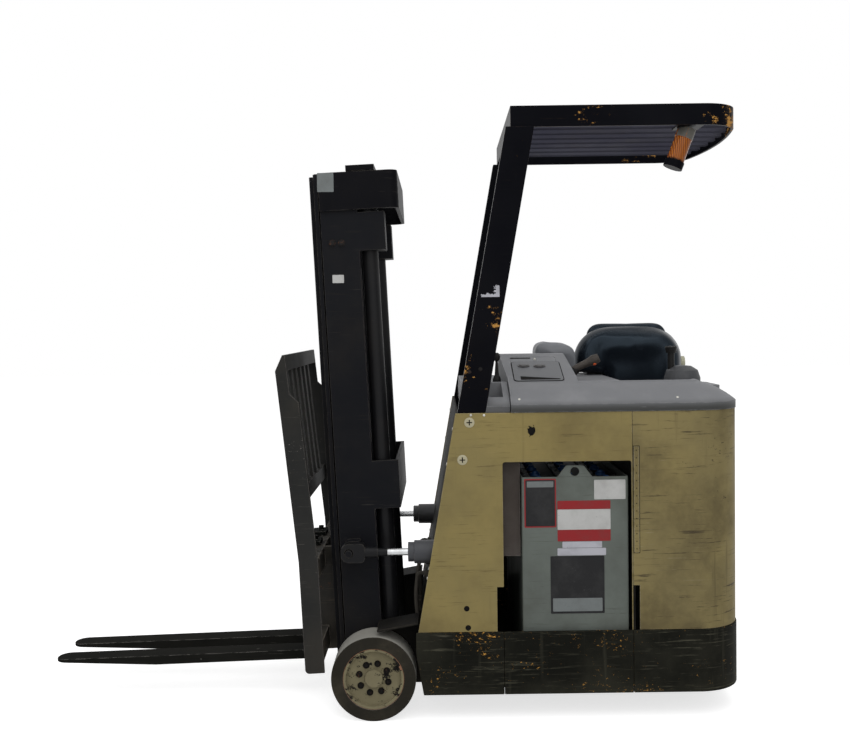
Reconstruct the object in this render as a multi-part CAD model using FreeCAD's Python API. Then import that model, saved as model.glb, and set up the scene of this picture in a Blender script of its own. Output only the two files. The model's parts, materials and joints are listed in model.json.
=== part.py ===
import FreeCAD, Part

import math
import os

# Stand-up counterbalanced electric forklift, millimetres, +X towards the forks, +Y to the
# operator's left-hand side, +Z up.  Sizes are laid out from the front axle on the floor.
# The exported row frame has its origin at the centre of the bounding box's base.

V = FreeCAD.Vector

# ---- driving dimensions -------------------------------------------------------------------
# body
BODY_HALF_W = 508.0          # half width over the skirt
SKIRT_PROUD = 4.0            # the skirt stands out of the painted panels
BODY_REAR_X = -1432.0        # rear face of the skirt
REAR_CORNER_R = 180.0        # plan radius of the rear corners
ENTRY_INSET = 223.0          # body side to the operator's entry
PANEL_T = 8.0                # thickness of the painted side panels
SKIRT_T = 14.0               # thickness of the skirt castings
SKIRT_BOTTOM_Z = 98.0
SKIRT_TOP_Z = 339.0
PANEL_TOP_Z = 1178.0
PANEL_SEAM = 1.5             # open seam between neighbouring panels
SEAT = 0.3                   # gap where one fixed piece seats on another
FRONT_LOW_X = -174.0         # front edge of the side panel at the skirt
FRONT_LEAN_DEG = 10.3        # lean of the panel's front edge and of the guard posts
FRONT_INSET = 3.0            # front plate behind the panel's front edge
FRONT_PLATE_T = 8.0
ARCH_BULGE = 9.0             # skirt edge in front of the panel at the wheel
ARCH_MID_Z = 257.0
ARCH_BOTTOM_BACK = 18.0      # skirt edge behind the panel at the bottom
WINDOW_FRONT_X = -503.0      # battery window in the side panel
WINDOW_LENGTH = 490.0
WINDOW_TOP_Z = 990.0
WINDOW_R = 10.0
SEAM_BEHIND_WINDOW = 3.0     # panel seam behind the window's rear edge
NOTCH_W = 26.0               # slots beside the window for the gate's hooks
NOTCH_TOP_Z = 512.0
GATE_OVERLAP = 2.0           # gate reaches past the front slot
# battery
BATTERY_L = 408.0            # along X
BATTERY_INSET = 27.0         # body side to battery case
BATTERY_H = 787.0
BATTERY_REAR_GAP = 12.0      # to the rear bulkhead
BATTERY_EDGE_R = 6.0
BATTERY_WALL = 6.0
CELL_DROP = 30.0             # cell tops below the case's rim
EAR_W = 134.0
EAR_H = 44.0
EAR_T = 8.0
EAR_HOLE_R = 17.0
EAR_HOLE_H = 20.0            # hole centre above the case's rim
FLOOR_TOP_Z = 141.0          # top of the battery floor
FLOOR_T = 20.0
SILL_W = 60.0
BULKHEAD_T = 10.0
BULKHEAD_GAP = 6.0           # front bulkhead behind the window's front slot
# front wheels
TYRE_R = 163.0
TYRE_W = 140.0
TYRE_CROWN = 3.0
RIM_R = 118.0
RIM_T = 12.0
RIM_SHY = 2.0                # rim edge inside the tyre's side
DISC_T = 14.0
DISC_RECESS = 20.0
HUB_R = 36.0
HUB_FLANGE_R = 50.0
HUB_L = 70.0
SPINDLE_R = 27.0
SPINDLE_END_GAP = 20.0       # spindle end behind the wheel disc
RUN_FIT = 0.05               # radial clearance of running fits
# drive axle
ARM_T = 16.0
ARM_GAP = 6.0                # arm to tyre and arm to mast
ARM_REACH = 66.0
ARM_LOW_Z = 100.0
ARM_TOP_Z = 368.0            # web top at the front plate
ARM_TOP_DROP = 28.0          # from there to the flange's front end
FLANGE_T = 8.0               # cover flange over the tyre
FLANGE_FRONT_X = -15.0
HOSE_R = 8.0
HOSE_IN = (46.0, 110.0, 84.0)  # from the axle arm's inner face
HOSE_SIDE = (1, 1, -1)
HOSE_TOP_Z = (520.0, 556.0, 538.0)
HOSE_OUT = 40.0              # from the front plate to the bend
HOSE_FRONT_X = -160.0
PORT_H = 48.0                # port blocks on the axle beam
PORT_W = 44.0
BEAM_BACK = 76.0             # axle beam's rear face behind the panel's front edge
BEAM_T = 60.0
BEAM_TOP_DROP = 60.0
MOTOR_R = 92.0
MOTOR_L = 230.0
MOTOR_Y = 60.0               # inner end of each drive motor
MOTOR_BACK = 110.0
# rear steering unit
STEER_X = -1205.0
STEER_WHEEL_R = 100.0
STEER_WHEEL_W = 66.0
STEER_WHEEL_GAP = 34.0       # between the twin wheels
STEER_HUB_R = 62.0
STEER_AXLE_R = 16.0
STEER_PLATE_T = 14.0
STEER_PLATE_R = 118.0
STEER_WEB_L = 80.0
KINGPIN_R = 30.0
YOKE_DROP = 8.0              # yoke plate below the floor plate
STEP_TOP_Z = 246.0           # operator's floor over the mat
STEP_PLATE_T = 10.0
STEP_LIP = 20.0              # entry bumper above the mat
MAT_T = 10.0
MAT_EDGE = 12.0
LEFT_LINER_INSET = 208.0     # body side to the compartment's inner walls
RIGHT_LINER_INSET = 186.0
LINER_T = 6.0
# left cover, hood and console
COVER_FRONT_X = -538.0
COVER_LIP_H = 30.0
COVER_RIDGE_IN = 52.0        # ridge outside the compartment's left wall
COVER_RIDGE_Z = 1287.0
COVER_BULGE = 9.0            # crown of the sloping side
COVER_RIDGE_R = 25.0
DECK_DROP = 8.0
CONSOLE_FRONT_X = -519.0
CONSOLE_REAR_X = -790.0
CONSOLE_SKEW = 22.0          # the console's ends draw out towards the side
CONSOLE_TOP_Z = 1388.0
CONSOLE_TOP_W = 80.0
CONSOLE_TOP_Y = 60.0
CONSOLE_R = 14.0
INSET_DEPTH = 6.0            # switch panel sunk in the console
INSET_MARGIN = 32.0
SLOT_DEPTH = 16.0
TRAY_H = 24.0
POD_TOP_Z = 1284.0
POD_W = 150.0
POD_R = 16.0
POCKET_DEPTH = 14.0
# backrest
SHELL_TOP_Z = 1440.0
SHELL_REAR_X = -1364.0
SHELL_R = 60.0
SHELL_SIDE_IN = 12.0
PAD_T = 82.0
PAD_REAR_X = -1373.0
PAD_FRONT_X = -878.0
PAD_TOP_Z = 1494.0
PAD_R = 110.0
PAD_BOTTOM_Z = 940.0
ROLL_T = 54.0
ROLL_TOP_Z = 1512.0
ROLL_END_IN = 62.0           # roll's ends inside the pad's ends
BUMPER_R = 29.0
BUMPER_L = 31.0
BUMPER_Z = 1327.0
BUMPER_Y = -370.0
ARM_REAR_X = -868.0
ARM_FRONT_X = -689.0
ARM_PAD_Z = 1352.0
ARM_PAD_TOP_Z = 1436.0
ARM_PAD_Y = -120.0
ARM_PAD_W = 180.0
ARM_PAD_R = 30.0
ARM_POST_IN = 20.0
# controls
HANDLE_Y = 100.0
HANDLE_R = 18.0
HANDLE_STEM_R = 11.0
HANDLE_L = 112.0
HANDLE_STEM_L = 42.0
HANDLE_RISE_DEG = 24.0
HANDLE_Z = 1306.0
TILLER_X = -1267.0
TILLER_Y = 150.0
TILLER_Z = 1262.0
TILLER_R = 74.0
TILLER_H = 74.0
TILLER_POD_L = 230.0
TILLER_POD_H = 64.0
KNOB_OFF = 45.0
KNOB_R = 25.0
KNOB_STEM_R = 14.0
KNOB_TOP_Z = 1414.0
KNOB_H = 28.0
# overhead guard
GUARD_TOP_Z = 2336.0
GUARD_BEAM_H = 80.0
GUARD_INSET = 30.0           # body side to the guard's side
GUARD_CORNER_X = -1284.0     # centre of the rear corners
GUARD_CORNER_R = 140.0
GUARD_BOW_DEG = 10.0         # slope of the bowed rear where it meets a corner
GUARD_FRONT_X = -549.0
GUARD_WALL = 10.0
GUARD_EDGE_R = 4.0
POST_DEPTH = 107.0
POST_W = 52.0
POST_WALL = 6.0
POST_BACK = 8.0              # post behind the panel's front edge
POST_SUNK = 300.0            # post foot below the panel's top
SLAT_W = 34.0
SLAT_H = 46.0
SLAT_LIFT = 16.0
SLAT_COUNT = 7
SLAT_SIDE = 40.0
BEACON_X = -1233.0
BEACON_R = 36.0
BEACON_L = 162.0
BEACON_LEAN_DEG = 21.0
BEACON_IN = 72.0
BEACON_PLATE_T = 6.0
BEACON_PLATE_L = 100.0
# mast, laid out upright about its pivot on the axle line, then tilted
MAST_TILT_DEG = 2.4
MAST_TOP_Z = 2118.0
MAST_BOTTOM_Z = 78.0
RAIL_DEPTH = 146.0
RAIL_REAR_U = -31.0          # rear face of the outer rail
RAIL_STEP = 22.5             # each stage stands this far in front of the one outside it
RAIL_WEB = 14.0
RAIL_FLANGE = 16.0
RAIL_FLANGE_W = 52.0
RAIL_INNER_FLANGE = 24.0     # flange inside the web of the nested stages
RAIL_SIDE_GAP = 8.0
RAIL_ROOT_R = 5.0
PAD_GAP = 0.3
WEAR_PAD_H = 120.0
WEAR_PAD_W = 18.0
WEAR_PAD_DROP = 320.0
PIVOT_R = 26.0
PIVOT_BOSS_R = 56.0
PIVOT_BOSS_T = 8.0
HEAD_H = 148.0               # cross head of the outer stage
HEAD_REACH = 163.0           # cross head behind the rails
HEAD_T = 14.0
HEAD_R = 40.0
TIE_Z = 790.0
TIE_H = 190.0
TIE_REACH = 104.0
TIE_T = 12.0
BASE_TIE_H = 24.0
LIFT_CYL_R = 32.5
LIFT_ROD_R = 22.0
LIFT_CYL_SIDE = 12.0         # cylinder beside the rail
LIFT_CYL_BEHIND = 37.0       # cylinder centre behind the rail
LIFT_CYL_TOP_Z = 1960.0
LIFT_GLAND_H = 46.0
LIFT_GLAND_R = 37.0
CLAMP_H = 150.0
CROSS_H = 130.0
CROSS_T = 12.0
# free lift
FREE_CYL_R = 42.0
FREE_ROD_R = 28.0
FREE_CYL_L = 1150.0
FREE_CYL_Z = 80.0            # above the mast's bottom
FREE_HEAD_H = 60.0
SHEAVE_R = 44.0
SHEAVE_W = 30.0
SHEAVE_Y = 66.0
FREE_HEAD_W = 48.0
# carriage, backrest and forks
CARRIAGE_HALF_W = 455.0
CARRIAGE_U = 198.0           # rear face of the fork bars
BAR_T = 40.0
BAR_H = 78.0
LOWER_BAR_Z = 212.0
UPPER_BAR_Z = 540.0
BAR_NOTCH_W = 16.0
BAR_NOTCH_H = 12.0
BAR_NOTCH_PITCH = 101.0
BRACKET_T = 16.0
ROLLER_W = 17.0
FORK_LENGTH = 1067.0
FORK_T = 38.0
FORK_W = 100.0
FORK_SPACING = 214.0         # centre to centre
FORK_HEEL_Z = 149.0
FORK_RISE_DEG = 0.8
FORK_TIP_T = 12.0
FORK_TAPER_L = 420.0
FORK_HEEL_IN_R = 25.0
FORK_HEEL_OUT_R = 34.0
FORK_OFF = 6.0               # shank in front of the carriage bars
FORK_HOOK_H = 18.0
FORK_LATCH_R = 11.0
BACKREST_TOP_Z = 1420.0
BACKREST_LEAN_DEG = 3.5
BACKREST_SIDE_D = 74.0
BACKREST_SIDE_T = 14.0
BACKREST_BOTTOM_Z = 186.0
BACKREST_BEND_Z = 620.0
BACKREST_NARROW_Z = 1270.0
BACKREST_NARROW_D = 44.0
BACKREST_LIP = 10.0
BACKREST_TOP_BAR_H = 60.0
BACKREST_LOW_BAR_Z = 820.0
BACKREST_BAR_COUNT = 6
BACKREST_BAR_W = 40.0
# tilt cylinders
TILT_PIN_X = 93.0
TILT_PIN_Z = 634.0
TILT_CYL_R = 45.0
TILT_ROD_R = 14.0
TILT_INSET = 93.0            # body side to the cylinder's axis
TILT_BARREL_FRONT_X = -137.0
TILT_REAR_X = -402.0
TILT_PIN_R = 14.0
TILT_EYE_R = 31.0
TILT_EYE_W = 44.0
TILT_EYE_PLAY = 3.0          # the rod eye floats on its pin
TILT_GLAND_L = 24.0
TILT_GLAND_R = 38.0
TILT_SLEEVE_R = 22.0
TILT_SLEEVE_L = 50.0
TILT_THREAD_R = 16.0
TILT_THREAD_L = 38.0
TILT_HOLE_GAP = 14.0         # front plate round the barrel
TILT_ROD_IN = 130.0          # rod inside the barrel at rest

# sizes that follow from those above
entry_half_w = BODY_HALF_W - ENTRY_INSET
left_liner_y = BODY_HALF_W - LEFT_LINER_INSET
right_liner_y = BODY_HALF_W - RIGHT_LINER_INSET
guard_half_w = BODY_HALF_W - GUARD_INSET
tilt_y = BODY_HALF_W - TILT_INSET
wheel_out_y = BODY_HALF_W
wheel_in_y = BODY_HALF_W - TYRE_W
arm_out_y = wheel_in_y - ARM_GAP
arm_in_y = arm_out_y - ARM_T
mast_half_w = arm_in_y - ARM_GAP


# ---- helpers ------------------------------------------------------------------------------
def box(x0, x1, y0, y1, z0, z1):
    """Box between two corners."""
    return Part.makeBox(x1 - x0, y1 - y0, z1 - z0, V(x0, y0, z0))


def cyl(radius, length, base, axis):
    """Cylinder from a base point along an axis."""
    return Part.makeCylinder(radius, length, V(*base), V(*axis))


def wire_of(points, place):
    """Closed outline of (a, b) points or (a, b, corner radius) points, put in space by place."""
    ends = []
    for i, p in enumerate(points):
        here = FreeCAD.Vector(p[0], p[1], 0)
        if len(p) == 2:
            ends.append((here, None, here))
            continue
        last = points[i - 1]
        following = points[(i + 1) % len(points)]
        back = (V(last[0], last[1], 0) - here).normalize()
        ahead = (V(following[0], following[1], 0) - here).normalize()
        half = back.getAngle(ahead) / 2.0
        reach = p[2] / math.tan(half)
        middle = (back + ahead).normalize() * (p[2] / math.sin(half) - p[2])
        ends.append((here + back * reach, here + middle, here + ahead * reach))
    edges = []
    for i, (start, middle, end) in enumerate(ends):
        if middle is not None:
            arc = [place(q.x, q.y) for q in (start, middle, end)]
            edges.append(Part.Arc(*arc).toShape())
        following = ends[(i + 1) % len(ends)][0]
        if end.distanceToPoint(following) > 1e-6:
            edges.append(Part.LineSegment(place(end.x, end.y), place(following.x, following.y)).toShape())
    return Part.Wire(edges)


def prism_xz(points, y0, y1):
    """Closed outline in X and Z, extruded from y0 to y1."""
    return Part.Face(wire_of(points, lambda a, b: V(a, y0, b))).extrude(V(0, y1 - y0, 0))


def prism_yz(points, x0, x1):
    """Closed outline in Y and Z, extruded from x0 to x1."""
    return Part.Face(wire_of(points, lambda a, b: V(x0, a, b))).extrude(V(x1 - x0, 0, 0))


def prism_xy(points, z0, z1):
    """Closed outline in X and Y, extruded from z0 to z1."""
    return Part.Face(wire_of(points, lambda a, b: V(a, b, z0))).extrude(V(0, 0, z1 - z0))


def revolved(points, base, axis, turn=360.0):
    """Profile of (radius, height) points turned about an axis from a base point."""
    wire = wire_of(points, lambda a, b: V(a, 0, b))
    shape = Part.Face(wire).revolve(V(0, 0, 0), V(0, 0, 1), turn)
    shape.Placement = FreeCAD.Placement(V(*base), FreeCAD.Rotation(V(0, 0, 1), V(*axis)))
    return shape


def hose(points, y, radius):
    """A tube in the plane at y, its corners as round as its runs allow."""
    stops = [V(x, y, z) for x, z in points]
    edges = []
    last = stops[0]
    for before, corner, after in zip(stops, stops[1:], stops[2:]):
        back = before - corner
        ahead = after - corner
        run = 0.45 * min(back.Length, ahead.Length)
        start = corner + back.normalize() * run
        end = corner + ahead.normalize() * run
        inward = ((start + end) * 0.5 - corner).normalize()
        cosine = (start - corner).dot(inward) / run
        middle = corner + inward * (run * (1.0 - math.sqrt(1.0 - cosine * cosine)) / cosine)
        edges += [Part.makeLine(last, start), Part.Arc(start, middle, end).toShape()]
        last = end
    edges.append(Part.makeLine(last, stops[-1]))
    ring = Part.Wire([Part.makeCircle(radius, stops[0], stops[1] - stops[0])])
    return Part.Wire(edges).makePipeShell([ring], True, True)


def mirror(shape):
    """The same piece on the other side of the truck."""
    return shape.mirror(V(0, 0, 0), V(0, 1, 0))


def both(shape):
    """A piece and its mirror image, fused."""
    return shape.fuse(mirror(shape))


def pair(shape):
    """A piece and its mirror image, as two solids of one node."""
    return Part.makeCompound([shape, mirror(shape)])


def edges_along(shape, axis, test):
    """Straight edges along an axis whose mid point passes the test."""
    found = []
    for edge in shape.Edges:
        if not isinstance(edge.Curve, Part.Line):
            continue
        direction = edge.tangentAt(edge.FirstParameter)
        if abs(abs(direction.dot(V(*axis))) - 1.0) < 1e-6 and test(edge.CenterOfMass):
            found.append(edge)
    return found


def corner_wall(x_start, x_rear, y_side, y_end, radius, wall, z0, z1):
    """Wall along the side that turns round the rear corner to the entry."""
    a = math.sqrt(0.5)
    cx = x_rear + radius
    cy = y_side - radius
    inner = radius - wall
    p = [V(x_start, y_side, z0), V(cx, y_side, z0), V(cx - radius * a, cy + radius * a, z0)]
    p += [V(x_rear, cy, z0), V(x_rear, y_end, z0), V(x_rear + wall, y_end, z0)]
    p += [V(x_rear + wall, cy, z0), V(cx - inner * a, cy + inner * a, z0)]
    p += [V(cx, y_side - wall, z0), V(x_start, y_side - wall, z0)]
    edges = [Part.LineSegment(p[0], p[1]).toShape(), Part.Arc(p[1], p[2], p[3]).toShape()]
    edges += [Part.LineSegment(p[3], p[4]).toShape(), Part.LineSegment(p[4], p[5]).toShape()]
    edges += [Part.LineSegment(p[5], p[6]).toShape(), Part.Arc(p[6], p[7], p[8]).toShape()]
    edges += [Part.LineSegment(p[8], p[9]).toShape(), Part.LineSegment(p[9], p[0]).toShape()]
    return Part.Face(Part.Wire(edges)).extrude(V(0, 0, z1 - z0))


def tilted(shape):
    """Tilt a piece that was laid out upright on the mast about the pivot."""
    return shape.rotated(V(0, 0, TYRE_R), V(0, 1, 0), MAST_TILT_DEG)


def front_edge_x(z):
    """Front edge of the body at a height."""
    return FRONT_LOW_X - (z - SKIRT_TOP_Z) * math.tan(math.radians(FRONT_LEAN_DEG))


nodes = {}

panel_y = BODY_HALF_W - SKIRT_PROUD
window_rear_x = WINDOW_FRONT_X - WINDOW_LENGTH
seam_x = window_rear_x - SEAM_BEHIND_WINDOW
panel_rear_x = BODY_REAR_X + SKIRT_PROUD
wall_in_y = panel_y - PANEL_T

# ---- frame --------------------------------------------------------------------------------
floor_z0 = FLOOR_TOP_Z - FLOOR_T
frame_half_w = BODY_HALF_W - SKIRT_T - SEAT
rear_bulkhead_x = seam_x - BULKHEAD_T
beam_x0 = FRONT_LOW_X - BEAM_BACK
floor_front_x = beam_x0 + FLOOR_T
step_plate_z0 = STEP_TOP_Z - MAT_T - STEP_PLATE_T
rail_rear_x = BODY_REAR_X + REAR_CORNER_R
frame = box(rear_bulkhead_x, floor_front_x, -frame_half_w, frame_half_w, floor_z0, FLOOR_TOP_Z)
sill = box(rail_rear_x, rear_bulkhead_x, frame_half_w - SILL_W, frame_half_w, floor_z0, step_plate_z0)
frame = frame.fuse(both(sill))
cross_x = rear_bulkhead_x - BATTERY_REAR_GAP
frame = frame.fuse(box(cross_x, rear_bulkhead_x, -frame_half_w, frame_half_w, floor_z0, step_plate_z0))
nodes["base_frame"] = frame.removeSplitter()

wall_z = SKIRT_TOP_Z + PANEL_SEAM
wall_pts = [(-frame_half_w, FLOOR_TOP_Z), (-frame_half_w, wall_z), (-wall_in_y, wall_z), (-wall_in_y, PANEL_TOP_Z)]
wall_pts += [(-y, z) for y, z in reversed(wall_pts)]
rear_wall = prism_yz(wall_pts, rear_bulkhead_x, seam_x)
front_wall_x = WINDOW_FRONT_X + NOTCH_W + BULKHEAD_GAP
front_wall = prism_yz(wall_pts, front_wall_x, front_wall_x + BULKHEAD_T)
nodes["bulkheads"] = Part.makeCompound([rear_wall, front_wall])

# slanted front plate between the side panels, with a hole round each tilt cylinder
plate_x = front_edge_x(wall_z) - FRONT_INSET
plate_top_x = front_edge_x(PANEL_TOP_Z) - FRONT_INSET
pts = [(plate_x, wall_z), (plate_top_x, PANEL_TOP_Z), (plate_top_x - FRONT_PLATE_T, PANEL_TOP_Z)]
pts += [(plate_x - FRONT_PLATE_T, wall_z)]
front_plate = prism_xz(pts, -wall_in_y, wall_in_y)
hole_x = front_edge_x(TILT_PIN_Z) + HEAD_H
hole = cyl(TILT_CYL_R + TILT_HOLE_GAP, 2.0 * HEAD_H, (hole_x, tilt_y, TILT_PIN_Z), (-1, 0, 0))
front_plate = front_plate.cut(both(hole))

# ---- side panels --------------------------------------------------------------------------
outline = [(front_edge_x(wall_z), wall_z), (front_edge_x(PANEL_TOP_Z), PANEL_TOP_Z)]
outline += [(seam_x, PANEL_TOP_Z), (seam_x, wall_z)]
side = prism_xz(outline, wall_in_y, panel_y)
out = panel_y + PANEL_T
inn = wall_in_y - PANEL_T
window = box(window_rear_x, WINDOW_FRONT_X, inn, out, SKIRT_TOP_Z, WINDOW_TOP_Z)
window = window.makeFillet(WINDOW_R, edges_along(window, (0, 1, 0), lambda c: c.z > WINDOW_TOP_Z - 1))
side = side.cut(window)
side = side.cut(box(WINDOW_FRONT_X - WINDOW_R, WINDOW_FRONT_X + NOTCH_W, inn, out, SKIRT_TOP_Z, NOTCH_TOP_Z))
nodes["side_panels"] = pair(side)

# ---- rear corner panels -------------------------------------------------------------------
rear = corner_wall(seam_x - PANEL_SEAM, panel_rear_x, panel_y, entry_half_w, REAR_CORNER_R - SKIRT_PROUD,
                   PANEL_T, wall_z, PANEL_TOP_Z)
rear = rear.cut(box(seam_x - NOTCH_W, seam_x, inn, out, SKIRT_TOP_Z, NOTCH_TOP_Z))
nodes["rear_panels"] = pair(rear)

# ---- skirts -------------------------------------------------------------------------------
skirt_in_y = BODY_HALF_W - SKIRT_T
gate_front_x = WINDOW_FRONT_X + GATE_OVERLAP
arch = [(FRONT_LOW_X + ARCH_BULGE - 1.0, SKIRT_TOP_Z), (FRONT_LOW_X + ARCH_BULGE, ARCH_MID_Z, TYRE_R)]
arch += [(FRONT_LOW_X - ARCH_BOTTOM_BACK, SKIRT_BOTTOM_Z)]
arch += [(gate_front_x, SKIRT_BOTTOM_Z), (gate_front_x, SKIRT_TOP_Z)]
nodes["front_skirts"] = pair(prism_xz(arch, skirt_in_y, BODY_HALF_W))
gate_end_x = gate_front_x - PANEL_SEAM
gate = box(seam_x, gate_end_x, skirt_in_y, BODY_HALF_W, SKIRT_BOTTOM_Z, SKIRT_TOP_Z)
nodes["battery_gates"] = pair(gate)
rear_skirt = corner_wall(seam_x - PANEL_SEAM, BODY_REAR_X, BODY_HALF_W, entry_half_w, REAR_CORNER_R,
                         SKIRT_T, SKIRT_BOTTOM_Z, SKIRT_TOP_Z)
nodes["rear_skirts"] = pair(rear_skirt)

# ---- battery ------------------------------------------------------------------------------
batt_rear_x = seam_x + BATTERY_REAR_GAP
batt_front_x = batt_rear_x + BATTERY_L
batt_top_z = FLOOR_TOP_Z + BATTERY_H
batt_half_w = BODY_HALF_W - BATTERY_INSET
battery = box(batt_rear_x, batt_front_x, -batt_half_w, batt_half_w, FLOOR_TOP_Z, batt_top_z)
battery = battery.makeFillet(BATTERY_EDGE_R, edges_along(battery, (0, 0, 1), lambda c: True))
w = BATTERY_WALL
hollow = box(batt_rear_x + w, batt_front_x - w, -batt_half_w + w, batt_half_w - w, FLOOR_TOP_Z + w, batt_top_z)
case = battery.cut(hollow)
cells = box(batt_rear_x + w, batt_front_x - w, -batt_half_w + w, batt_half_w - w,
            FLOOR_TOP_Z + w, batt_top_z - CELL_DROP)
nodes["battery_cells"] = cells
ear_x = (batt_rear_x + batt_front_x) / 2.0
ear_pts = [(ear_x - EAR_W / 2, batt_top_z), (ear_x - EAR_W / 4, batt_top_z + EAR_H, EAR_T)]
ear_pts += [(ear_x + EAR_W / 4, batt_top_z + EAR_H, EAR_T), (ear_x + EAR_W / 2, batt_top_z)]
ear = prism_xz(ear_pts, batt_half_w - EAR_T, batt_half_w)
ear = ear.cut(cyl(EAR_HOLE_R, 3 * EAR_T, (ear_x, batt_half_w - 2 * EAR_T, batt_top_z + EAR_HOLE_H), (0, 1, 0)))
nodes["battery_case"] = Part.makeCompound([case, ear, mirror(ear)])

# ---- drive axle and front wheels ----------------------------------------------------------
axle = box(beam_x0, beam_x0 + BEAM_T, -arm_out_y, arm_out_y, FLOOR_TOP_Z, SKIRT_TOP_Z - BEAM_TOP_DROP)
arm_front = ARM_REACH * 0.7
arm_rear = beam_x0 + BEAM_T
flange_low = (FLANGE_FRONT_X, ARM_TOP_Z - ARM_TOP_DROP)
arm_pts = [(arm_rear, ARM_LOW_Z), (arm_rear, SKIRT_TOP_Z - ARM_GAP), (FRONT_LOW_X, SKIRT_TOP_Z - ARM_GAP)]
arm_pts += [(FRONT_LOW_X, ARM_TOP_Z), flange_low, (arm_front, TYRE_R + ARM_REACH - ARM_T, ARM_T)]
arm_pts += [(ARM_REACH, TYRE_R, ARM_T), (arm_front, TYRE_R - ARM_REACH + ARM_T, ARM_T)]
arm_pts += [(-ARM_REACH, ARM_LOW_Z)]
arm = prism_xz(arm_pts, arm_in_y, arm_out_y)
flange_pts = [(FRONT_LOW_X, ARM_TOP_Z), (FRONT_LOW_X, ARM_TOP_Z + FLANGE_T)]
flange_pts += [(flange_low[0], flange_low[1] + FLANGE_T), flange_low]
arm = arm.fuse(prism_xz(flange_pts, arm_in_y, frame_half_w - SEAT))
spindle_l = TYRE_W - DISC_RECESS - SPINDLE_END_GAP + ARM_GAP
arm = arm.fuse(cyl(SPINDLE_R, spindle_l, (0, arm_out_y, TYRE_R), (0, 1, 0)))
pivot_l = ARM_GAP + RAIL_WEB + PIVOT_BOSS_T / 2
arm = arm.fuse(cyl(PIVOT_R, pivot_l, (0, arm_in_y, TYRE_R), (0, -1, 0)))
nodes["axle_arms"] = pair(arm.removeSplitter())
motor_z = FLOOR_TOP_Z + MOTOR_R + SEAT
motor = cyl(MOTOR_R, MOTOR_L, (beam_x0 - MOTOR_BACK, MOTOR_Y, motor_z), (0, 1, 0))
nodes["drive_axle"] = Part.makeCompound([axle, motor, mirror(motor)])

# hoses from elbows on the front plate down to port blocks on the axle beam
lean = math.radians(FRONT_LEAN_DEG)
hoses = []
for hose_in, side, top_z in zip(HOSE_IN, HOSE_SIDE, HOSE_TOP_Z):
    hose_y = side * (arm_in_y - hose_in)
    plate_x = front_edge_x(top_z) - FRONT_INSET
    knee = (plate_x + HOSE_OUT * math.cos(lean), top_z + HOSE_OUT * math.sin(lean))
    port_x = arm_rear + PORT_W / 2
    port_z = SKIRT_TOP_Z - BEAM_TOP_DROP - HOSE_R
    route = [(plate_x, top_z), knee, (HOSE_FRONT_X, (knee[1] + SKIRT_TOP_Z) / 2), (port_x, SKIRT_TOP_Z), (port_x, port_z)]
    port = box(arm_rear, arm_rear + PORT_W, hose_y - PORT_W / 2, hose_y + PORT_W / 2, port_z - PORT_H, port_z)
    gland = cyl(HOSE_R * 1.7, HOSE_R * 1.5, (plate_x, hose_y, top_z), (math.cos(lean), 0, math.sin(lean)))
    collar = cyl(HOSE_R * 1.5, HOSE_R * 2, (port_x, hose_y, port_z), (0, 0, 1))
    hoses.append(hose(route, hose_y, HOSE_R).fuse([port, gland, collar]).removeSplitter())
nodes["drive_hoses"] = Part.makeCompound(hoses)

# tyre and rim of the left front wheel, as profiles of radius and distance from the inner side
crown = TYRE_R - TYRE_CROWN
tyre_prof = [(RIM_R, 0), (crown, 0), (TYRE_R, TYRE_CROWN), (TYRE_R, TYRE_W - TYRE_CROWN)]
tyre_prof += [(crown, TYRE_W), (RIM_R, TYRE_W)]
disc_out = TYRE_W - DISC_RECESS
disc_in = disc_out - DISC_T
rim_in_r = RIM_R - RIM_T
bore_r = SPINDLE_R + RUN_FIT
bore_end = disc_out - DISC_T + HUB_FLANGE_R / 4
rim_prof = [(bore_r, disc_in - HUB_L), (HUB_FLANGE_R, disc_in - HUB_L), (HUB_FLANGE_R, disc_in)]
rim_prof += [(rim_in_r, disc_in), (rim_in_r, RIM_SHY), (RIM_R, RIM_SHY), (RIM_R, TYRE_W - RIM_SHY)]
rim_prof += [(rim_in_r, TYRE_W - RIM_SHY), (rim_in_r, disc_out), (HUB_R, disc_out)]
rim_prof += [(HUB_R - RIM_SHY, disc_out + DISC_T), (0, disc_out + DISC_T), (0, bore_end), (bore_r, bore_end)]
for name, profile in (("front_tyre_", tyre_prof), ("front_rim_", rim_prof)):
    wheel_part = revolved(profile, (0, wheel_in_y, TYRE_R), (0, 1, 0))
    nodes[name + "left"] = wheel_part
    nodes[name + "right"] = mirror(wheel_part)

# ---- rear steering unit -------------------------------------------------------------------
yoke_top_z = step_plate_z0 - YOKE_DROP
yoke_z0 = yoke_top_z - STEER_PLATE_T
yoke = cyl(STEER_PLATE_R, STEER_PLATE_T, (STEER_X, 0, yoke_z0), (0, 0, 1))
web_t = STEER_WHEEL_GAP - 2 * (ARM_GAP - 1.0)
web_x = STEER_WEB_L / 2
yoke = yoke.fuse(box(STEER_X - web_x, STEER_X + web_x, -web_t / 2, web_t / 2, STEER_WHEEL_R - SPINDLE_R, yoke_z0))
axle_len = STEER_WHEEL_GAP + 2 * STEER_WHEEL_W
yoke = yoke.fuse(cyl(STEER_AXLE_R, axle_len, (STEER_X, -axle_len / 2, STEER_WHEEL_R), (0, 1, 0)))
yoke = yoke.fuse(cyl(KINGPIN_R, YOKE_DROP + STEP_PLATE_T, (STEER_X, 0, yoke_top_z), (0, 0, 1)))
nodes["steer_yoke"] = yoke.removeSplitter()
steer_y = STEER_WHEEL_GAP / 2
steer_tyre = [(STEER_HUB_R, 0), (STEER_WHEEL_R, 0), (STEER_WHEEL_R, STEER_WHEEL_W), (STEER_HUB_R, STEER_WHEEL_W)]
hub_bore = STEER_AXLE_R + RUN_FIT
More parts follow.
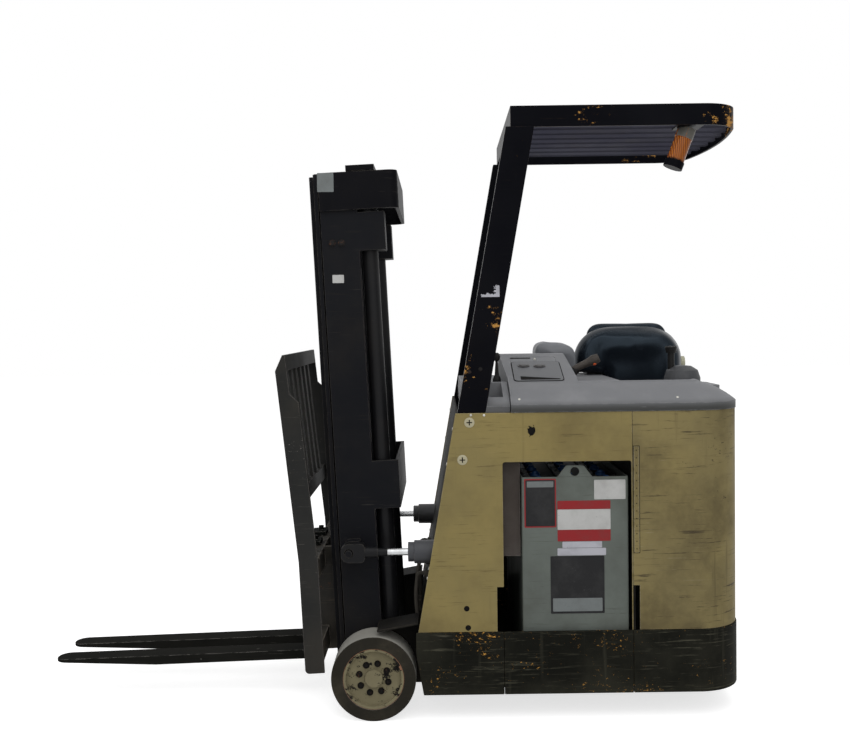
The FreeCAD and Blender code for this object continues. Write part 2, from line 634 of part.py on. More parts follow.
hub_cut = STEER_WHEEL_W - DISC_T
steer_hub = [(hub_bore, 0), (STEER_HUB_R, 0), (STEER_HUB_R, STEER_WHEEL_W), (STEER_HUB_R - RIM_T, STEER_WHEEL_W)]
steer_hub += [(STEER_HUB_R - RIM_T, hub_cut), (hub_bore, hub_cut)]
nodes["steer_tyres"] = pair(revolved(steer_tyre, (STEER_X, steer_y, STEER_WHEEL_R), (0, 1, 0)))
nodes["steer_hubs"] = pair(revolved(steer_hub, (STEER_X, steer_y, STEER_WHEEL_R), (0, 1, 0)))

# ---- operator's compartment ---------------------------------------------------------------
inner_rear_x = BODY_REAR_X + SKIRT_T + SEAT
plate = box(inner_rear_x, rear_bulkhead_x, -frame_half_w, frame_half_w, step_plate_z0, step_plate_z0 + STEP_PLATE_T)
corner_r = REAR_CORNER_R - SKIRT_T
plate = plate.makeFillet(corner_r, edges_along(plate, (0, 0, 1), lambda c: c.x < inner_rear_x + 1))
plate = plate.cut(cyl(KINGPIN_R + RUN_FIT, 4 * STEP_PLATE_T, (STEER_X, 0, step_plate_z0 - STEP_PLATE_T), (0, 0, 1)))
step_half = entry_half_w - SEAT
bumper = box(BODY_REAR_X, BODY_REAR_X + SKIRT_T, -step_half, step_half, SKIRT_BOTTOM_Z, STEP_TOP_Z + STEP_LIP)
nodes["operator_floor"] = Part.makeCompound([plate, bumper])
mat_z0 = STEP_TOP_Z - MAT_T
mat = box(inner_rear_x + MAT_EDGE, rear_bulkhead_x - MAT_EDGE, -right_liner_y + 2.0, left_liner_y - 2.0, mat_z0, STEP_TOP_Z)
nodes["floor_mat"] = mat
liner_front_x = rear_bulkhead_x - SEAT
liner_top_z = PANEL_TOP_Z - SEAT
left_liner = box(inner_rear_x, liner_front_x, left_liner_y, left_liner_y + LINER_T, mat_z0, liner_top_z)
right_liner = box(inner_rear_x, liner_front_x, -right_liner_y - LINER_T, -right_liner_y, mat_z0, liner_top_z)
nodes["liners"] = Part.makeCompound([left_liner, right_liner])

# crowned moulding along the top of each side, turned round the rear corner
cover_out_y = BODY_HALF_W - 1.0
cover_lip_z = PANEL_TOP_Z + COVER_LIP_H
deck_z = COVER_RIDGE_Z - DECK_DROP
corner_x = BODY_REAR_X + REAR_CORNER_R
corner_y = BODY_HALF_W - REAR_CORNER_R


def crown(place, ridge_y, inner_y, high_z=None):
    """Section of the moulding as a face; high_z lifts its inner part to the console."""
    low = (cover_out_y, cover_lip_z)
    shoulder = (ridge_y + COVER_RIDGE_R * 0.7, COVER_RIDGE_Z - COVER_RIDGE_R * 0.28)
    span = math.hypot(low[0] - shoulder[0], low[1] - shoulder[1])
    nx = (shoulder[1] - low[1]) / span * COVER_BULGE
    nz = (low[0] - shoulder[0]) / span * COVER_BULGE
    bulge = ((low[0] + shoulder[0]) / 2 + nx, (low[1] + shoulder[1]) / 2 + nz)
    base = (cover_out_y, PANEL_TOP_Z)
    edges = [Part.LineSegment(place(*base), place(*low)).toShape()]
    edges.append(Part.Arc(place(*low), place(*bulge), place(*shoulder)).toShape())
    if high_z is None:
        end = (ridge_y - COVER_RIDGE_R * 0.7, deck_z)
        edges.append(Part.Arc(place(*shoulder), place(ridge_y, COVER_RIDGE_Z), place(*end)).toShape())
        inner = (inner_y, deck_z)
    else:
        end = shoulder
        inner = (inner_y, high_z)
    edges.append(Part.LineSegment(place(*end), place(*inner)).toShape())
    foot = (inner_y, PANEL_TOP_Z)
    edges.append(Part.LineSegment(place(*inner), place(*foot)).toShape())
    edges.append(Part.LineSegment(place(*foot), place(*base)).toShape())
    return Part.Face(Part.Wire(edges))


def corner_cover(inner_y, front_x):
    """Moulding from a place on the side round to the rear entry, on the left side."""
    ridge_y = inner_y + COVER_RIDGE_IN
    shape = crown(lambda y, z: V(corner_x, y, z), ridge_y, inner_y).extrude(V(front_x - corner_x, 0, 0))
    turned = crown(lambda y, z: V(corner_x, y, z), ridge_y, corner_y)
    shape = shape.fuse(turned.revolve(V(corner_x, corner_y, 0), V(0, 0, 1), 90))
    end = crown(lambda y, z: V(corner_x - (y - corner_y), corner_y, z), ridge_y, corner_y)
    return shape.fuse(end.extrude(V(0, inner_y - corner_y, 0)))


console_side_x = COVER_FRONT_X + 2.0
console_back_x = CONSOLE_REAR_X - CONSOLE_SKEW
left_ridge_y = left_liner_y + COVER_RIDGE_IN
console_slope = (CONSOLE_TOP_Z - COVER_RIDGE_Z) / (left_ridge_y - CONSOLE_TOP_Y)


def console_z(y):
    """Height of the console's sloping side at a place across the truck."""
    return COVER_RIDGE_Z + (left_ridge_y - y) * console_slope


cover = corner_cover(left_liner_y, console_back_x)
fore = crown(lambda y, z: V(console_back_x, y, z), left_ridge_y, left_liner_y, console_z(left_liner_y))
cover = cover.fuse(fore.extrude(V(COVER_FRONT_X - console_back_x, 0, 0))).removeSplitter()
pod_half = TILLER_POD_L / 2
pod_y0 = TILLER_Y - TILLER_R - POD_R
pod = box(TILLER_X - pod_half, TILLER_X + pod_half, pod_y0, left_liner_y - SEAT, TILLER_Z - TILLER_POD_H, TILLER_Z - SEAT)
pod = pod.makeFillet(TILLER_POD_H / 2, edges_along(pod, (0, 0, 1), lambda c: c.y < TILLER_Y))
nodes["cover_left"] = Part.makeCompound([cover, pod])

# hood over the battery, with the armrest's pedestal
hood_front = crown(lambda y, z: V(rear_bulkhead_x + 1.0, -y, z), left_ridge_y, -left_liner_y + PANEL_SEAM)
hood = hood_front.extrude(V(COVER_FRONT_X - rear_bulkhead_x - 1.0, 0, 0))
post_y0 = ARM_PAD_Y - ARM_PAD_W + ARM_POST_IN
arm_post = box(ARM_REAR_X + ARM_POST_IN, ARM_FRONT_X - ARM_POST_IN, post_y0, ARM_PAD_Y - ARM_POST_IN, deck_z, ARM_PAD_Z - SEAT)
arm_post = arm_post.makeFillet(ARM_POST_IN, edges_along(arm_post, (0, 0, 1), lambda c: True))
nodes["hood"] = hood.fuse(arm_post).removeSplitter()

# console over the hood, drawn out to the side
con_out_y = left_liner_y - PANEL_SEAM
top_in_y = CONSOLE_TOP_Y - CONSOLE_TOP_W
con = [(con_out_y, deck_z), (con_out_y, console_z(con_out_y)), (CONSOLE_TOP_Y, CONSOLE_TOP_Z, 2 * CONSOLE_R)]
con += [(top_in_y, CONSOLE_TOP_Z, CONSOLE_R), (top_in_y, deck_z)]
console = prism_yz(con, console_back_x, console_side_x + CONSOLE_SKEW)
con_plan = [(console_back_x, con_out_y), (console_side_x, con_out_y), (CONSOLE_FRONT_X, CONSOLE_TOP_Y, CONSOLE_TOP_W)]
con_plan += [(CONSOLE_FRONT_X, top_in_y), (CONSOLE_REAR_X, top_in_y), (CONSOLE_REAR_X, CONSOLE_TOP_Y, CONSOLE_TOP_W)]
console = console.common(prism_xy(con_plan, deck_z, CONSOLE_TOP_Z))
slope_deg = math.degrees(math.atan(console_slope))
inset_l = CONSOLE_FRONT_X - CONSOLE_REAR_X - 2.6 * INSET_MARGIN
inset_w = (con_out_y - CONSOLE_TOP_Y - 2 * INSET_MARGIN) / math.cos(math.radians(slope_deg))
inset_x = (CONSOLE_FRONT_X + CONSOLE_REAR_X) / 2.0
inset_y = (con_out_y + CONSOLE_TOP_Y) / 2.0
recess = box(-inset_l / 2, inset_l / 2, -inset_w / 2, inset_w / 2, -INSET_DEPTH, HEAD_T)
recess = recess.makeFillet(CONSOLE_R, edges_along(recess, (0, 0, 1), lambda c: True))
slot = box(-inset_l / 2 + CONSOLE_R, 0, inset_w / 2 - INSET_MARGIN, inset_w / 2 - CONSOLE_R, -SLOT_DEPTH, 0)
recess = recess.fuse(slot)
recess.Placement = FreeCAD.Placement(V(inset_x, inset_y, console_z(inset_y)), FreeCAD.Rotation(V(1, 0, 0), -slope_deg))
nodes["console"] = console.cut(recess)

# tray between the console and the front edge, with a pocket beside the guard post
tray_x1 = front_edge_x(PANEL_TOP_Z) - FRONT_INSET
tray_x0 = COVER_FRONT_X + 2.0
tray_lip_z = PANEL_TOP_Z + TRAY_H
tray_y = panel_y - POD_R / 2
shelf_y = tray_y - POD_W / 2
tray_half = [(tray_y, PANEL_TOP_Z), (tray_y, tray_lip_z), (shelf_y, (tray_lip_z + POD_TOP_Z) / 2, POD_R)]
tray_half += [(left_liner_y, POD_TOP_Z, 2 * POD_R)]
tray_pts = tray_half + [(-p[0],) + p[1:] for p in reversed(tray_half)]
tray = prism_yz(tray_pts, tray_x0, tray_x1 - TRAY_H)
pocket = box(tray_x0 + TRAY_H, tray_x1 - POST_DEPTH, left_liner_y, shelf_y + POD_R, tray_lip_z + POCKET_DEPTH, POD_TOP_Z)
tray = tray.cut(pocket).cut(console)

# ---- backrest at the right of the compartment ----------------------------------------------
shell_y = BODY_HALF_W - SHELL_SIDE_IN - COVER_RIDGE_IN
shell_front_x = PAD_FRONT_X - ROLL_END_IN
shell_pts = [(SHELL_REAR_X, deck_z), (SHELL_REAR_X, SHELL_TOP_Z, SHELL_R), (shell_front_x, SHELL_TOP_Z, SHELL_R)]
shell_pts += [(shell_front_x, deck_z)]
shell = prism_xz(shell_pts, -shell_y, -right_liner_y)
shell = shell.cut(nodes["hood"])
shell = shell.fuse(cyl(BUMPER_R, BUMPER_L, (SHELL_REAR_X, BUMPER_Y, BUMPER_Z), (-1, 0, 0)))
right_cover = mirror(corner_cover(right_liner_y, rear_bulkhead_x + 1.0 - PANEL_SEAM))
nodes["backrest_shell"] = right_cover.fuse(shell).removeSplitter()
pad_back_y = -right_liner_y + SEAT
pad_pts = [(PAD_REAR_X, PAD_BOTTOM_Z), (PAD_REAR_X, PAD_TOP_Z, PAD_R), (PAD_FRONT_X, PAD_TOP_Z, PAD_R)]
pad_pts += [(PAD_FRONT_X, COVER_RIDGE_Z + SEAT), (rear_bulkhead_x - BULKHEAD_GAP, COVER_RIDGE_Z + SEAT)]
pad_pts += [(rear_bulkhead_x - BULKHEAD_GAP, PAD_BOTTOM_Z)]
pad = prism_xz(pad_pts, pad_back_y, pad_back_y + PAD_T)
roll_pts = [(PAD_REAR_X + ROLL_END_IN, SHELL_TOP_Z + SEAT), (PAD_REAR_X + ROLL_END_IN, ROLL_TOP_Z, SHELL_R)]
roll_pts += [(shell_front_x, ROLL_TOP_Z, SHELL_R), (shell_front_x, SHELL_TOP_Z + SEAT)]
roll = prism_xz(roll_pts, -right_liner_y - ROLL_T, -right_liner_y)
nodes["back_pad"] = Part.makeCompound([pad, roll])
arm_mid_z = (ARM_PAD_Z + ARM_PAD_TOP_Z) / 2
arm_pts = [(ARM_FRONT_X, ARM_PAD_Z, POD_R / 2), (ARM_FRONT_X, ARM_PAD_TOP_Z, ARM_PAD_R)]
arm_pts += [(ARM_REAR_X, ARM_PAD_TOP_Z - POD_R, ARM_PAD_R), (ARM_REAR_X, ARM_PAD_Z, POD_R)]
nodes["arm_pad"] = prism_xz(arm_pts, ARM_PAD_Y - ARM_PAD_W, ARM_PAD_Y)

# controls
rise = math.radians(HANDLE_RISE_DEG)
stem_x = CONSOLE_REAR_X + CONSOLE_SKEW
stem_z = HANDLE_Z - CONSOLE_SKEW * math.tan(rise)
grip_0 = HANDLE_STEM_L + CONSOLE_SKEW
grip_1 = grip_0 + HANDLE_L
handle_prof = [(0, 0), (HANDLE_STEM_R, 0), (HANDLE_STEM_R, grip_0), (HANDLE_R * 0.75, grip_0)]
handle_prof += [(HANDLE_R * 0.85, grip_1 * 0.75), (HANDLE_R, grip_1 - HANDLE_R), (HANDLE_R * 0.8, grip_1), (0, grip_1)]
handle = revolved(handle_prof, (stem_x, HANDLE_Y, stem_z), (-math.cos(rise), 0, math.sin(rise)))
nodes["control_handle"] = handle.cut(prism_yz(con, console_back_x + 1.0, console_side_x).common(
    prism_xy(con_plan, deck_z - HEAD_T, CONSOLE_TOP_Z)))
dome_prof = [(0.0, 0.0), (TILLER_R, 0.0), (TILLER_R, TILLER_H * 0.3), (TILLER_R * 0.86, TILLER_H * 0.72)]
dome_prof += [(TILLER_R * 0.5, TILLER_H * 0.95), (0.0, TILLER_H)]
dome = revolved(dome_prof, (TILLER_X, TILLER_Y, TILLER_Z), (0, 0, 1))
knob_z = KNOB_TOP_Z - TILLER_Z
knob_prof = [(0, TILLER_H / 2), (KNOB_STEM_R, TILLER_H / 2), (KNOB_STEM_R, knob_z - KNOB_H), (KNOB_R * 0.8, knob_z - KNOB_H)]
knob_prof += [(KNOB_R, knob_z - KNOB_H * 0.2), (KNOB_R * 0.9, knob_z), (0, knob_z)]
nodes["steering_tiller"] = dome.fuse(revolved(knob_prof, (TILLER_X + KNOB_OFF, TILLER_Y, TILLER_Z), (0, 0, 1)))

# ---- overhead guard -----------------------------------------------------------------------
beam_z0 = GUARD_TOP_Z - GUARD_BEAM_H
guard_corner_y = guard_half_w - GUARD_CORNER_R
bow = math.radians(GUARD_BOW_DEG)
bow_r = (guard_corner_y + GUARD_CORNER_R * math.sin(bow)) / math.sin(bow)
bow_x = GUARD_CORNER_X + (bow_r - GUARD_CORNER_R) * math.cos(bow)


def guard_outline(inset, z):
    """Plan outline of the guard, smaller by an inset: straight sides and a bowed rear."""
    r = GUARD_CORNER_R - inset
    half = (math.pi / 2 - bow) / 2
    yn = guard_corner_y + r
    xf = GUARD_FRONT_X - inset
    turn = V(GUARD_CORNER_X - r * math.sin(half), guard_corner_y + r * math.cos(half), z)
    meet = V(GUARD_CORNER_X - r * math.cos(bow), guard_corner_y + r * math.sin(bow), z)
    apex = V(bow_x - bow_r + inset, 0, z)
    p = [V(xf, yn, z), V(GUARD_CORNER_X, yn, z), turn, meet, apex]
    p += [V(meet.x, -meet.y, z), V(turn.x, -turn.y, z), V(GUARD_CORNER_X, -yn, z), V(xf, -yn, z)]
    edges = [Part.LineSegment(p[0], p[1]).toShape(), Part.Arc(p[1], p[2], p[3]).toShape()]
    edges += [Part.Arc(p[3], p[4], p[5]).toShape(), Part.Arc(p[5], p[6], p[7]).toShape()]
    edges += [Part.LineSegment(p[7], p[8]).toShape(), Part.LineSegment(p[8], p[0]).toShape()]
    return Part.Wire(edges)


ring = Part.Face(guard_outline(0, beam_z0)).extrude(V(0, 0, GUARD_BEAM_H))
ring = ring.cut(Part.Face(guard_outline(GUARD_WALL, beam_z0)).extrude(V(0, 0, GUARD_BEAM_H)))
beacon_y = guard_half_w - BEACON_IN
plate_x0 = BEACON_X - BEACON_PLATE_L / 2
ring = ring.fuse(box(plate_x0, plate_x0 + BEACON_PLATE_L, beacon_y - BEACON_R - GUARD_WALL, guard_half_w - GUARD_WALL / 2,
                     beam_z0, beam_z0 + BEACON_PLATE_T))
nodes["guard_roof"] = ring.removeSplitter()
inner = Part.Face(guard_outline(GUARD_WALL + SEAT, beam_z0)).extrude(V(0, 0, GUARD_BEAM_H))
pitch = 2 * (guard_half_w - SLAT_SIDE) / (SLAT_COUNT + 1)
slats = []
slat_z = beam_z0 + SLAT_LIFT
slat_x0 = bow_x - bow_r
for i in range(SLAT_COUNT):
    y = -guard_half_w + SLAT_SIDE + pitch * (i + 1)
    slat = box(slat_x0, GUARD_FRONT_X, y - SLAT_W / 2, y + SLAT_W / 2, slat_z, slat_z + SLAT_H)
    slats.append(slat.common(inner))
nodes["guard_slats"] = Part.makeCompound(slats)


def post_outline(inset, z_low, z_high):
    """Side outline of a leaning guard post, smaller by an inset."""
    low = front_edge_x(z_low) - POST_BACK
    high = front_edge_x(z_high) - POST_BACK
    pts = [(low - inset, z_low), (high - inset, z_high)]
    return pts + [(high - POST_DEPTH + inset, z_high), (low - POST_DEPTH + inset, z_low)]


post_foot_z = PANEL_TOP_Z - POST_SUNK
post_solid = prism_xz(post_outline(0.0, post_foot_z, beam_z0), wall_in_y - POST_W, wall_in_y)
post_room = prism_xz(post_outline(POST_WALL, post_foot_z - POST_WALL, beam_z0 + POST_WALL),
                     wall_in_y - POST_W + POST_WALL, wall_in_y - POST_WALL)
nodes["guard_posts"] = pair(post_solid.cut(post_room))
nodes["front_plate"] = front_plate.cut(both(post_solid))
nodes["front_tray"] = tray.cut(both(post_solid))

# beacon under the left beam: base, lens and end cap
beacon_lean = math.radians(BEACON_LEAN_DEG)
base_l = BEACON_L * 0.27
lens_l = BEACON_L * 0.82
beacon_prof = [(0, 0), (BEACON_R - 1.0, 0), (BEACON_R - 1.0, base_l), (BEACON_R - 3.0, base_l), (BEACON_R - 2.0, lens_l)]
beacon_prof += [(BEACON_R + 1.5, lens_l), (BEACON_R + 1.5, BEACON_L), (0, BEACON_L)]
beacon = revolved(beacon_prof, (BEACON_X, beacon_y, beam_z0), (math.sin(beacon_lean), 0, -math.cos(beacon_lean)))
over = box(BEACON_X - BEACON_L, BEACON_X + BEACON_L, beacon_y - BEACON_L, beacon_y + BEACON_L, beam_z0 - SEAT, GUARD_TOP_Z)
nodes["beacon"] = beacon.cut(over)

# ---- mast ---------------------------------------------------------------------------------
rail_nest = RAIL_FLANGE_W + RAIL_SIDE_GAP + 2.0


def rail(index):
    """Left rail of a stage, upright: 0 is the outer channel, 1 and 2 are nested I sections."""
    u0 = RAIL_REAR_U + RAIL_STEP * index
    u1 = u0 + RAIL_DEPTH
    web_out = mast_half_w - rail_nest * index
    web_in = web_out - RAIL_WEB
    out_y = web_out
    in_y = web_out - RAIL_FLANGE_W
    if index:
        out_y = web_out + rail_nest - RAIL_WEB - RAIL_SIDE_GAP
        in_y = web_in - RAIL_INNER_FLANGE
    shape = box(u0, u1, web_in, web_out, MAST_BOTTOM_Z, MAST_TOP_Z)
    shape = shape.fuse(box(u0, u0 + RAIL_FLANGE, in_y, out_y, MAST_BOTTOM_Z, MAST_TOP_Z))
    shape = shape.fuse(box(u1 - RAIL_FLANGE, u1, in_y, out_y, MAST_BOTTOM_Z, MAST_TOP_Z))
    return shape, u0, u1, web_in, web_out, in_y, out_y


rail0, a0, a1, w0_in, w0_out, f0_in, f0_out = rail(0)
rail1, b0, b1, w1_in, w1_out, f1_in, f1_out = rail(1)
rail2, c0, c1, w2_in, w2_out, f2_in, f2_out = rail(2)
wear_z = MAST_TOP_Z - WEAR_PAD_DROP
low_wear_z = MAST_BOTTOM_Z + 10.0


def wear_pads(u_start, u_end, y_start, z_start):
    """A pair of guide pads between two stages."""
    return both(box(u_start, u_end, y_start, y_start + WEAR_PAD_W, z_start, z_start + WEAR_PAD_H))


# outer stage: rails, cross head round the top, ties and the lift cylinders' clamps
head_z0 = MAST_TOP_Z - HEAD_H
head_rear = a0 - HEAD_REACH
head_out = mast_half_w + HEAD_T
head_pts = [(a1, mast_half_w), (a1, head_out), (head_rear, head_out, HEAD_R), (head_rear, -head_out, HEAD_R)]
head_pts += [(a1, -head_out), (a1, -mast_half_w), (head_rear + HEAD_T, -mast_half_w, HEAD_R - HEAD_T)]
head_pts += [(head_rear + HEAD_T, mast_half_w, HEAD_R - HEAD_T)]
outer_stage = both(rail0).fuse(prism_xy(head_pts, head_z0, MAST_TOP_Z))
cyl_y = w0_in - LIFT_CYL_SIDE - LIFT_CYL_R
cyl_u = a0 - LIFT_CYL_BEHIND
tie_rear = a0 - TIE_REACH
tie = box(tie_rear, a0, w0_in, w0_out, TIE_Z, TIE_Z + TIE_H)
outer_stage = outer_stage.fuse(both(tie))
outer_stage = outer_stage.fuse(box(tie_rear, tie_rear + TIE_T, -w0_out, w0_out, TIE_Z, TIE_Z + TIE_H))
outer_stage = outer_stage.fuse(box(tie_rear, a0, -w0_out, w0_out, MAST_BOTTOM_Z, MAST_BOTTOM_Z + BASE_TIE_H))
clamp_z = LIFT_CYL_TOP_Z - CLAMP_H
clamp = box(tie_rear, a0, cyl_y - LIFT_CYL_R - LIFT_CYL_SIDE, w0_out, clamp_z, LIFT_CYL_TOP_Z)
clamp = clamp.cut(cyl(LIFT_CYL_R, CLAMP_H, (cyl_u, cyl_y, clamp_z), (0, 0, 1)))
outer_stage = outer_stage.fuse(both(clamp))
boss_y = w0_in - PIVOT_BOSS_T
boss = cyl(PIVOT_BOSS_R, PIVOT_BOSS_T, (0, boss_y, TYRE_R), (0, 1, 0))
boss = boss.fuse(box(a0, 0, boss_y, w0_in, TYRE_R - PIVOT_BOSS_R, TYRE_R + PIVOT_BOSS_R))
outer_stage = outer_stage.fuse(both(boss))
pivot_bore = cyl(PIVOT_R + RUN_FIT, mast_half_w, (0, boss_y - PIVOT_BOSS_T, TYRE_R), (0, 1, 0))
outer_stage = outer_stage.cut(both(pivot_bore))
tilt_cos = math.cos(math.radians(MAST_TILT_DEG))
tilt_sin = math.sin(math.radians(MAST_TILT_DEG))
tilt_u = TILT_PIN_X * tilt_cos - (TILT_PIN_Z - TYRE_R) * tilt_sin
tilt_w = TILT_PIN_X * tilt_sin + (TILT_PIN_Z - TYRE_R) * tilt_cos + TYRE_R
pin_end_y = tilt_y + TILT_EYE_W / 2 + 10.0
outer_stage = outer_stage.fuse(both(cyl(TILT_PIN_R, pin_end_y - mast_half_w, (tilt_u, mast_half_w, tilt_w), (0, 1, 0))))
foot_end_y = tilt_y - TILT_EYE_W / 2 - 4.0
foot_pts = [(tilt_u - 1.3 * TILT_EYE_R, tilt_w - 1.2 * TILT_EYE_R), (tilt_u + 0.65 * TILT_EYE_R, tilt_w - 1.2 * TILT_EYE_R, POD_R)]
foot_pts += [(tilt_u + 0.65 * TILT_EYE_R, tilt_w + 1.2 * TILT_EYE_R, POD_R), (tilt_u - 1.3 * TILT_EYE_R, tilt_w + 1.2 * TILT_EYE_R)]
outer_stage = outer_stage.fuse(both(prism_xz(foot_pts, mast_half_w, foot_end_y)))
outer_stage = outer_stage.fuse(wear_pads(a1, b1 - RAIL_FLANGE - PAD_GAP, f0_in, wear_z))
nodes["mast_outer"] = tilted(outer_stage.removeSplitter())

# intermediate stage
mid = both(rail1)
mid_tie_u1 = c0 - ARM_GAP
mid = mid.fuse(box(b0, mid_tie_u1, -f1_in, f1_in, MAST_BOTTOM_Z + CROSS_T, MAST_BOTTOM_Z + CROSS_T + CROSS_H))
mid = mid.fuse(box(b0, mid_tie_u1, -f1_in, f1_in, head_z0 - CROSS_H / 2, head_z0 + CROSS_H / 2))
neck_z = MAST_TOP_Z + 8.0
mid = mid.fuse(box(cyl_u - LIFT_ROD_R - HEAD_T, mid_tie_u1, -f1_out, f1_out, neck_z, neck_z + LIFT_ROD_R))
mid = mid.fuse(both(box(b0, b1, w1_in, w1_out, MAST_TOP_Z, neck_z)))
mid = mid.fuse(wear_pads(a0 + RAIL_FLANGE + PAD_GAP, b0, f0_in + 4.0, low_wear_z))
mid = mid.fuse(wear_pads(b1, c1 - RAIL_FLANGE - PAD_GAP, f1_in + 2.0, wear_z))
nodes["mast_middle"] = tilted(mid.removeSplitter())
rod_z0 = MAST_BOTTOM_Z + CLAMP_H
rod = cyl(LIFT_ROD_R, neck_z - rod_z0, (cyl_u, cyl_y, rod_z0), (0, 0, 1))
nodes["lift_rods"] = tilted(pair(rod))
tube_z0 = MAST_BOTTOM_Z + BASE_TIE_H
tube_end = LIFT_CYL_TOP_Z + SEAT - tube_z0
gland_end = tube_end + LIFT_GLAND_H
bore = LIFT_ROD_R + RUN_FIT
tube_floor = rod_z0 - tube_z0 - ARM_GAP
tube_prof = [(0, 0), (LIFT_CYL_R, 0), (LIFT_CYL_R, tube_end), (LIFT_GLAND_R, tube_end), (LIFT_GLAND_R, gland_end)]
tube_prof += [(bore, gland_end), (bore, tube_floor), (0, tube_floor)]
nodes["lift_cylinders"] = tilted(pair(revolved(tube_prof, (cyl_u, cyl_y, tube_z0), (0, 0, 1))))

# inner stage with the free lift cylinder, its rod and the chain sheaves
inner_stage = both(rail2)
for z0 in (MAST_BOTTOM_Z + CROSS_T, MAST_TOP_Z - CROSS_H, (MAST_BOTTOM_Z + MAST_TOP_Z) / 2 + CROSS_H):
    inner_stage = inner_stage.fuse(box(c0, c0 + CROSS_T, -f2_in, f2_in, z0, z0 + CROSS_H * 0.75))
inner_stage = inner_stage.fuse(wear_pads(b0 + RAIL_FLANGE + PAD_GAP, c0, f1_in + 2.0, low_wear_z))
nodes["mast_inner"] = tilted(inner_stage.removeSplitter())
free_u = c0 + CROSS_T + SHEAVE_R + ARM_GAP
free_z0 = MAST_BOTTOM_Z + FREE_CYL_Z
free_top = free_z0 + FREE_CYL_L
free_bore = FREE_ROD_R + RUN_FIT
free_prof = [(0, 0), (FREE_CYL_R, 0), (FREE_CYL_R, FREE_CYL_L), (free_bore, FREE_CYL_L), (free_bore, FREE_CYL_Z), (0, FREE_CYL_Z)]
free = revolved(free_prof, (free_u, 0, free_z0), (0, 0, 1))
foot_w = FREE_ROD_R
for z0 in (free_z0, free_top - FREE_CYL_Z):
    stay = box(c0 + CROSS_T, free_u, -foot_w, foot_w, z0, z0 + FREE_HEAD_H)
    free = free.fuse(stay.cut(cyl(FREE_CYL_R - SEAT, FREE_CYL_L, (free_u, 0, free_z0), (0, 0, 1))))
nodes["free_lift_cylinder"] = tilted(free.removeSplitter())
cross_z = free_top + FREE_HEAD_H
block_y = SHEAVE_Y - SHEAVE_W / 2
free_rod_z = free_z0 + FREE_CYL_Z + FREE_HEAD_H
free_rod = cyl(FREE_ROD_R, cross_z - free_rod_z, (free_u, 0, free_rod_z), (0, 0, 1))
block = box(free_u - FREE_HEAD_W / 2, free_u + FREE_HEAD_W / 2, -block_y, block_y, cross_z, cross_z + FREE_HEAD_H)
block = block.makeFillet(FREE_HEAD_H / 6, edges_along(block, (0, 1, 0), lambda c: True))
sheave_z = cross_z + FREE_HEAD_H / 2
groove = SHEAVE_R - 8.0
sheave_prof = [(0, 0), (SHEAVE_R, 0), (SHEAVE_R, 4.0), (groove, 4.0), (groove, SHEAVE_W - 4.0), (SHEAVE_R, SHEAVE_W - 4.0)]
sheave_prof += [(SHEAVE_R, SHEAVE_W), (0, SHEAVE_W)]
sheave = revolved(sheave_prof, (free_u, block_y, sheave_z), (0, 1, 0))
nodes["free_lift_rod"] = tilted(free_rod.fuse(block).fuse(both(sheave)).removeSplitter())

# carriage: two notched bars on brackets that carry the rollers
roller_u = (c0 + c1) / 2.0
roller_r = (RAIL_DEPTH - 2 * RAIL_FLANGE) / 2.0 - PAD_GAP
bracket_y1 = f2_in - 2.0
bracket_y0 = bracket_y1 - BRACKET_T
bar_u1 = CARRIAGE_U + BAR_T
upper_top = UPPER_BAR_Z + BAR_H
lower_bar = box(CARRIAGE_U, bar_u1, -CARRIAGE_HALF_W, CARRIAGE_HALF_W, LOWER_BAR_Z, LOWER_BAR_Z + BAR_H)
upper_bar = box(CARRIAGE_U, bar_u1, -CARRIAGE_HALF_W, CARRIAGE_HALF_W, UPPER_BAR_Z, upper_top)
notch_count = int((CARRIAGE_HALF_W - BAR_NOTCH_W) / BAR_NOTCH_PITCH)
for i in range(notch_count):
    y = (i + 0.5) * BAR_NOTCH_PITCH
    notch = box(CARRIAGE_U, bar_u1, y, y + BAR_NOTCH_W, upper_top - BAR_NOTCH_H, upper_top)
    upper_bar = upper_bar.cut(both(notch))
bracket_z0 = LOWER_BAR_Z - 20.0
bracket_pts = [(roller_u - 2 * BRACKET_T, bracket_z0, POD_R), (bar_u1, bracket_z0), (bar_u1, upper_top)]
bracket_pts += [(roller_u - 2 * BRACKET_T, upper_top, 2 * POD_R)]
carriage = lower_bar.fuse(upper_bar).fuse(both(prism_xz(bracket_pts, bracket_y0, bracket_y1)))
for z in (LOWER_BAR_Z + BAR_H / 2, UPPER_BAR_Z + BAR_H / 4):
    carriage = carriage.fuse(both(cyl(roller_r, ROLLER_W, (roller_u, bracket_y1, z), (0, 1, 0))))
nodes["carriage"] = tilted(carriage.removeSplitter())

# load backrest
side_rear_low = CARRIAGE_U - 8.0
back_slope = math.tan(math.radians(BACKREST_LEAN_DEG))
u_front = side_rear_low + BACKREST_SIDE_D


def back_u(z):
    """Front edge of the backrest at a height above the bend."""
    return u_front + max(0.0, z - BACKREST_BEND_Z) * back_slope


def back_strip(u_rear, u_fore, z_low, z_high, y0, y1):
    """Strip that leans with the backrest, set back from its front edge."""
    strip = [(back_u(z_low) - u_rear, z_low), (back_u(z_low) - u_fore, z_low)]
    strip += [(back_u(z_high) - u_fore, z_high), (back_u(z_high) - u_rear, z_high)]
    return prism_xz(strip, y0, y1)


